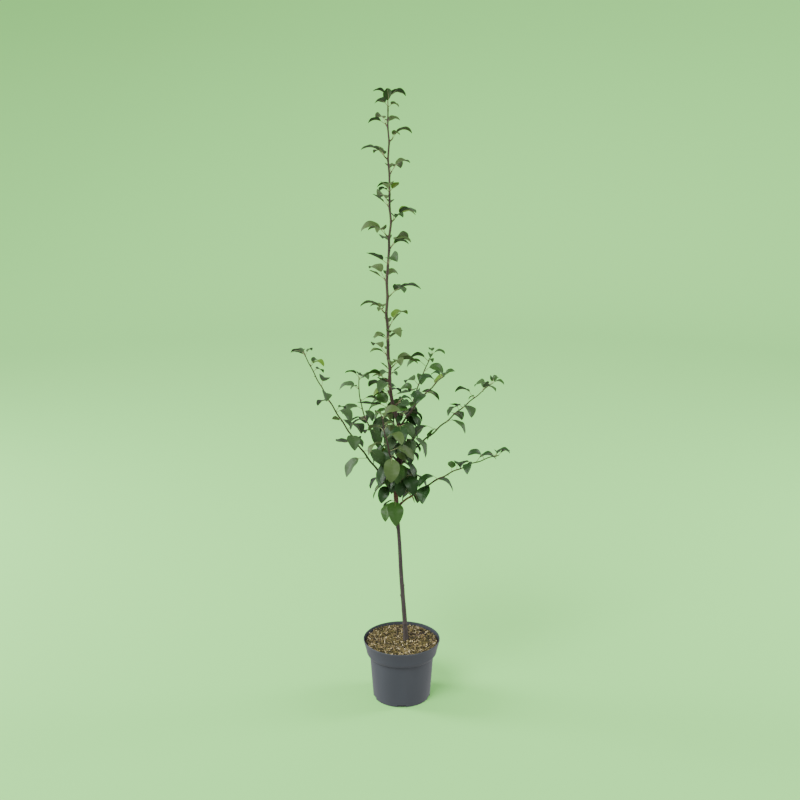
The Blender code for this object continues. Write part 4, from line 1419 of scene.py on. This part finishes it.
smooth(bough_buds, ROUND_CREASE)
settle(bough_buds, Finish("bud_scales", BUD_BROWN, BUD_ROUGHNESS), "shoot_bark")


# Leaf blades
# Thin leathery blades with a finely toothed edge, a sunken rib and raised veins. Each spray has one
# of a few greens: deep and glossy in the crown, lighter and duller up the leader.
FINE_STEPS = 36
FINE_COLUMNS = 6
FINE_THICKNESS = 0.00034
TOOTH_DEPTH = 0.045
VEIN_WAVES = 7
VEIN_SLANT = 1.7
VEIN_HEIGHT = 0.00022
RIB_DEPTH = 0.00030
WAVE_HEIGHT = 0.10
WAVE_COUNT = 1.6
WAVE_SHIFT = 2.2
BLADE_CUP = 1.25
FLAT_BELOW = 0.006
BLADE_CREASE = 50
LEAF_SHEEN = {"Specular IOR Level": 0.3, "Coat Weight": 0.05, "Coat Roughness": 0.4}
WAVE_SEED = 77
BLADE_FULLNESS = {"crown": 1.04, "shoot": 1.12, "leader": 1.22}
TONES = {
    "deep": ((0.015, 0.058, 0.009), 0.44),
    "mid": ((0.030, 0.096, 0.011), 0.46),
    "dusk": ((0.036, 0.088, 0.022), 0.50),
    "olive": ((0.068, 0.128, 0.030), 0.52),
    "fresh": ((0.100, 0.230, 0.012), 0.46),
}
TONE_SHARES = {
    "crown": ("deep", "mid", "deep", "mid", "fresh", "deep", "mid", "dusk"),
    "shoot": ("dusk", "mid", "dusk", "mid", "deep", "olive"),
    "leader": ("olive", "dusk", "olive", "olive"),
}
LONE_TONE_CHANCE = 0.22
LONE_TONES = ("mid", "fresh", "dusk", "olive", "mid", "dusk")
UNDERSIDE = ((0.110, 0.180, 0.060), 0.60)


def add_blade(shape, root, leaf, fullness, phase):
    """A closed blade in rings of points: over it from edge to edge, and back beneath."""
    places = midrib(root, leaf, FINE_STEPS)
    over = [column / FINE_COLUMNS * 2 - 1 for column in range(FINE_COLUMNS + 1)]
    ring_points = [(u, 1) for u in over] + [(u, -1) for u in reversed(over[1:-1])]
    rings = []
    for step, (centre, (_, across, up)) in enumerate(places):
        share = step / FINE_STEPS
        half = max(leaf["half_width"] * fullness * outline(min(share, 1)), PETIOLE_RADIUS * 0.5)
        tooth = 1 + TOOTH_DEPTH * (step % 2)
        relief = min(half / FLAT_BELOW, 1)
        ring = []
        for u, side in ring_points:
            edge = abs(u)
            width = half * (tooth if edge == 1 else 1)
            lift = half * leaf["fold"] * edge**BLADE_CUP
            vein = math.sin(2 * math.pi * (share * VEIN_WAVES - edge * VEIN_SLANT))
            lift += VEIN_HEIGHT * vein * 4 * edge * (1 - edge) * relief
            lift -= RIB_DEPTH * (edge == 0) * relief
            wave = math.sin(2 * math.pi * (share * WAVE_COUNT + phase) + (u > 0) * WAVE_SHIFT)
            lift += half * WAVE_HEIGHT * wave * edge**2 * math.sin(math.pi * share)
            thick = side * FINE_THICKNESS / 2 * (edge < 1)
            ring.append(shape.verts.new(centre + across * (width * u) + up * (lift + thick)))
        rings.append(ring)
    count = len(ring_points)
    for lower, upper in zip(rings, rings[1:]):
        for side in range(count):
            after = (side + 1) % count
            face = shape.faces.new((lower[side], lower[after], upper[after], upper[side]))
            face.material_index = 0 if side < FINE_COLUMNS else 1
    shape.faces.new(rings[0])
    shape.faces.new(rings[-1])


underside = Finish("leaf_underside", *UNDERSIDE)
tone_draw = random.Random(WAVE_SEED)
blade_shapes = {tone: bmesh.new() for tone in TONES}
for _, kind, leaves in sprays:
    spray_tone = tone_draw.choice(TONE_SHARES[kind])
    for root, leaf in leaves:
        tone = spray_tone
        if tone_draw.random() < LONE_TONE_CHANCE:
            tone = tone_draw.choice(LONE_TONES)
        add_blade(blade_shapes[tone], root, leaf, BLADE_FULLNESS[kind], tone_draw.random())
for tone, shape in blade_shapes.items():
    blades = joined(f"leaf_blades_{tone}", shape)
    smooth(blades, BLADE_CREASE)
    colour, roughness = TONES[tone]
    leaf_green = Finish(f"leaf_green_{tone}", colour, roughness)
    for socket, value in LEAF_SHEEN.items():
        leaf_green.set(socket, value)
    settle(blades, leaf_green, "foliage")
    blades.data.materials.append(underside.material)


# Leaf stalks
# Each slender cream-green stalk grows from its twig and runs on under the blade as its midrib.
STALK_ROOT_RADIUS = 0.00062
STALK_END_RADIUS = 0.00050
RIB_TIP_RADIUS = 0.00012
RIB_END = 0.9
RIB_STEPS = 14
STALK_STEPS = 3
STALK_SIDES = 6
STALK_GREEN = (0.300, 0.350, 0.140)
STALK_ROUGHNESS = 0.5
shape = bmesh.new()
for _, _, leaves in sprays:
    for root, leaf in leaves:
        places = midrib(root, leaf, RIB_STEPS)
        end, ways = places[0]
        points = [root.lerp(end, step / STALK_STEPS) for step in range(STALK_STEPS)]
        radii = [STALK_ROOT_RADIUS] + [STALK_END_RADIUS] * (STALK_STEPS - 1)
        for step, (point, ways) in enumerate(places[: round(RIB_END * RIB_STEPS)]):
            share = step / (RIB_END * RIB_STEPS)
            points.append(point - ways[2] * (FINE_THICKNESS / 2 + RIB_DEPTH) * min(step, 1))
            radii.append(STALK_END_RADIUS + (RIB_TIP_RADIUS - STALK_END_RADIUS) * share)
        tube(points, radii, STALK_SIDES, None, shape)
stalks = joined("leaf_stalks", shape)
smooth(stalks, ROUND_CREASE)
stalk_green = Finish("stalk_green", STALK_GREEN, STALK_ROUGHNESS)
settle(stalks, stalk_green, "foliage", *[name for name, _, _ in sprays])
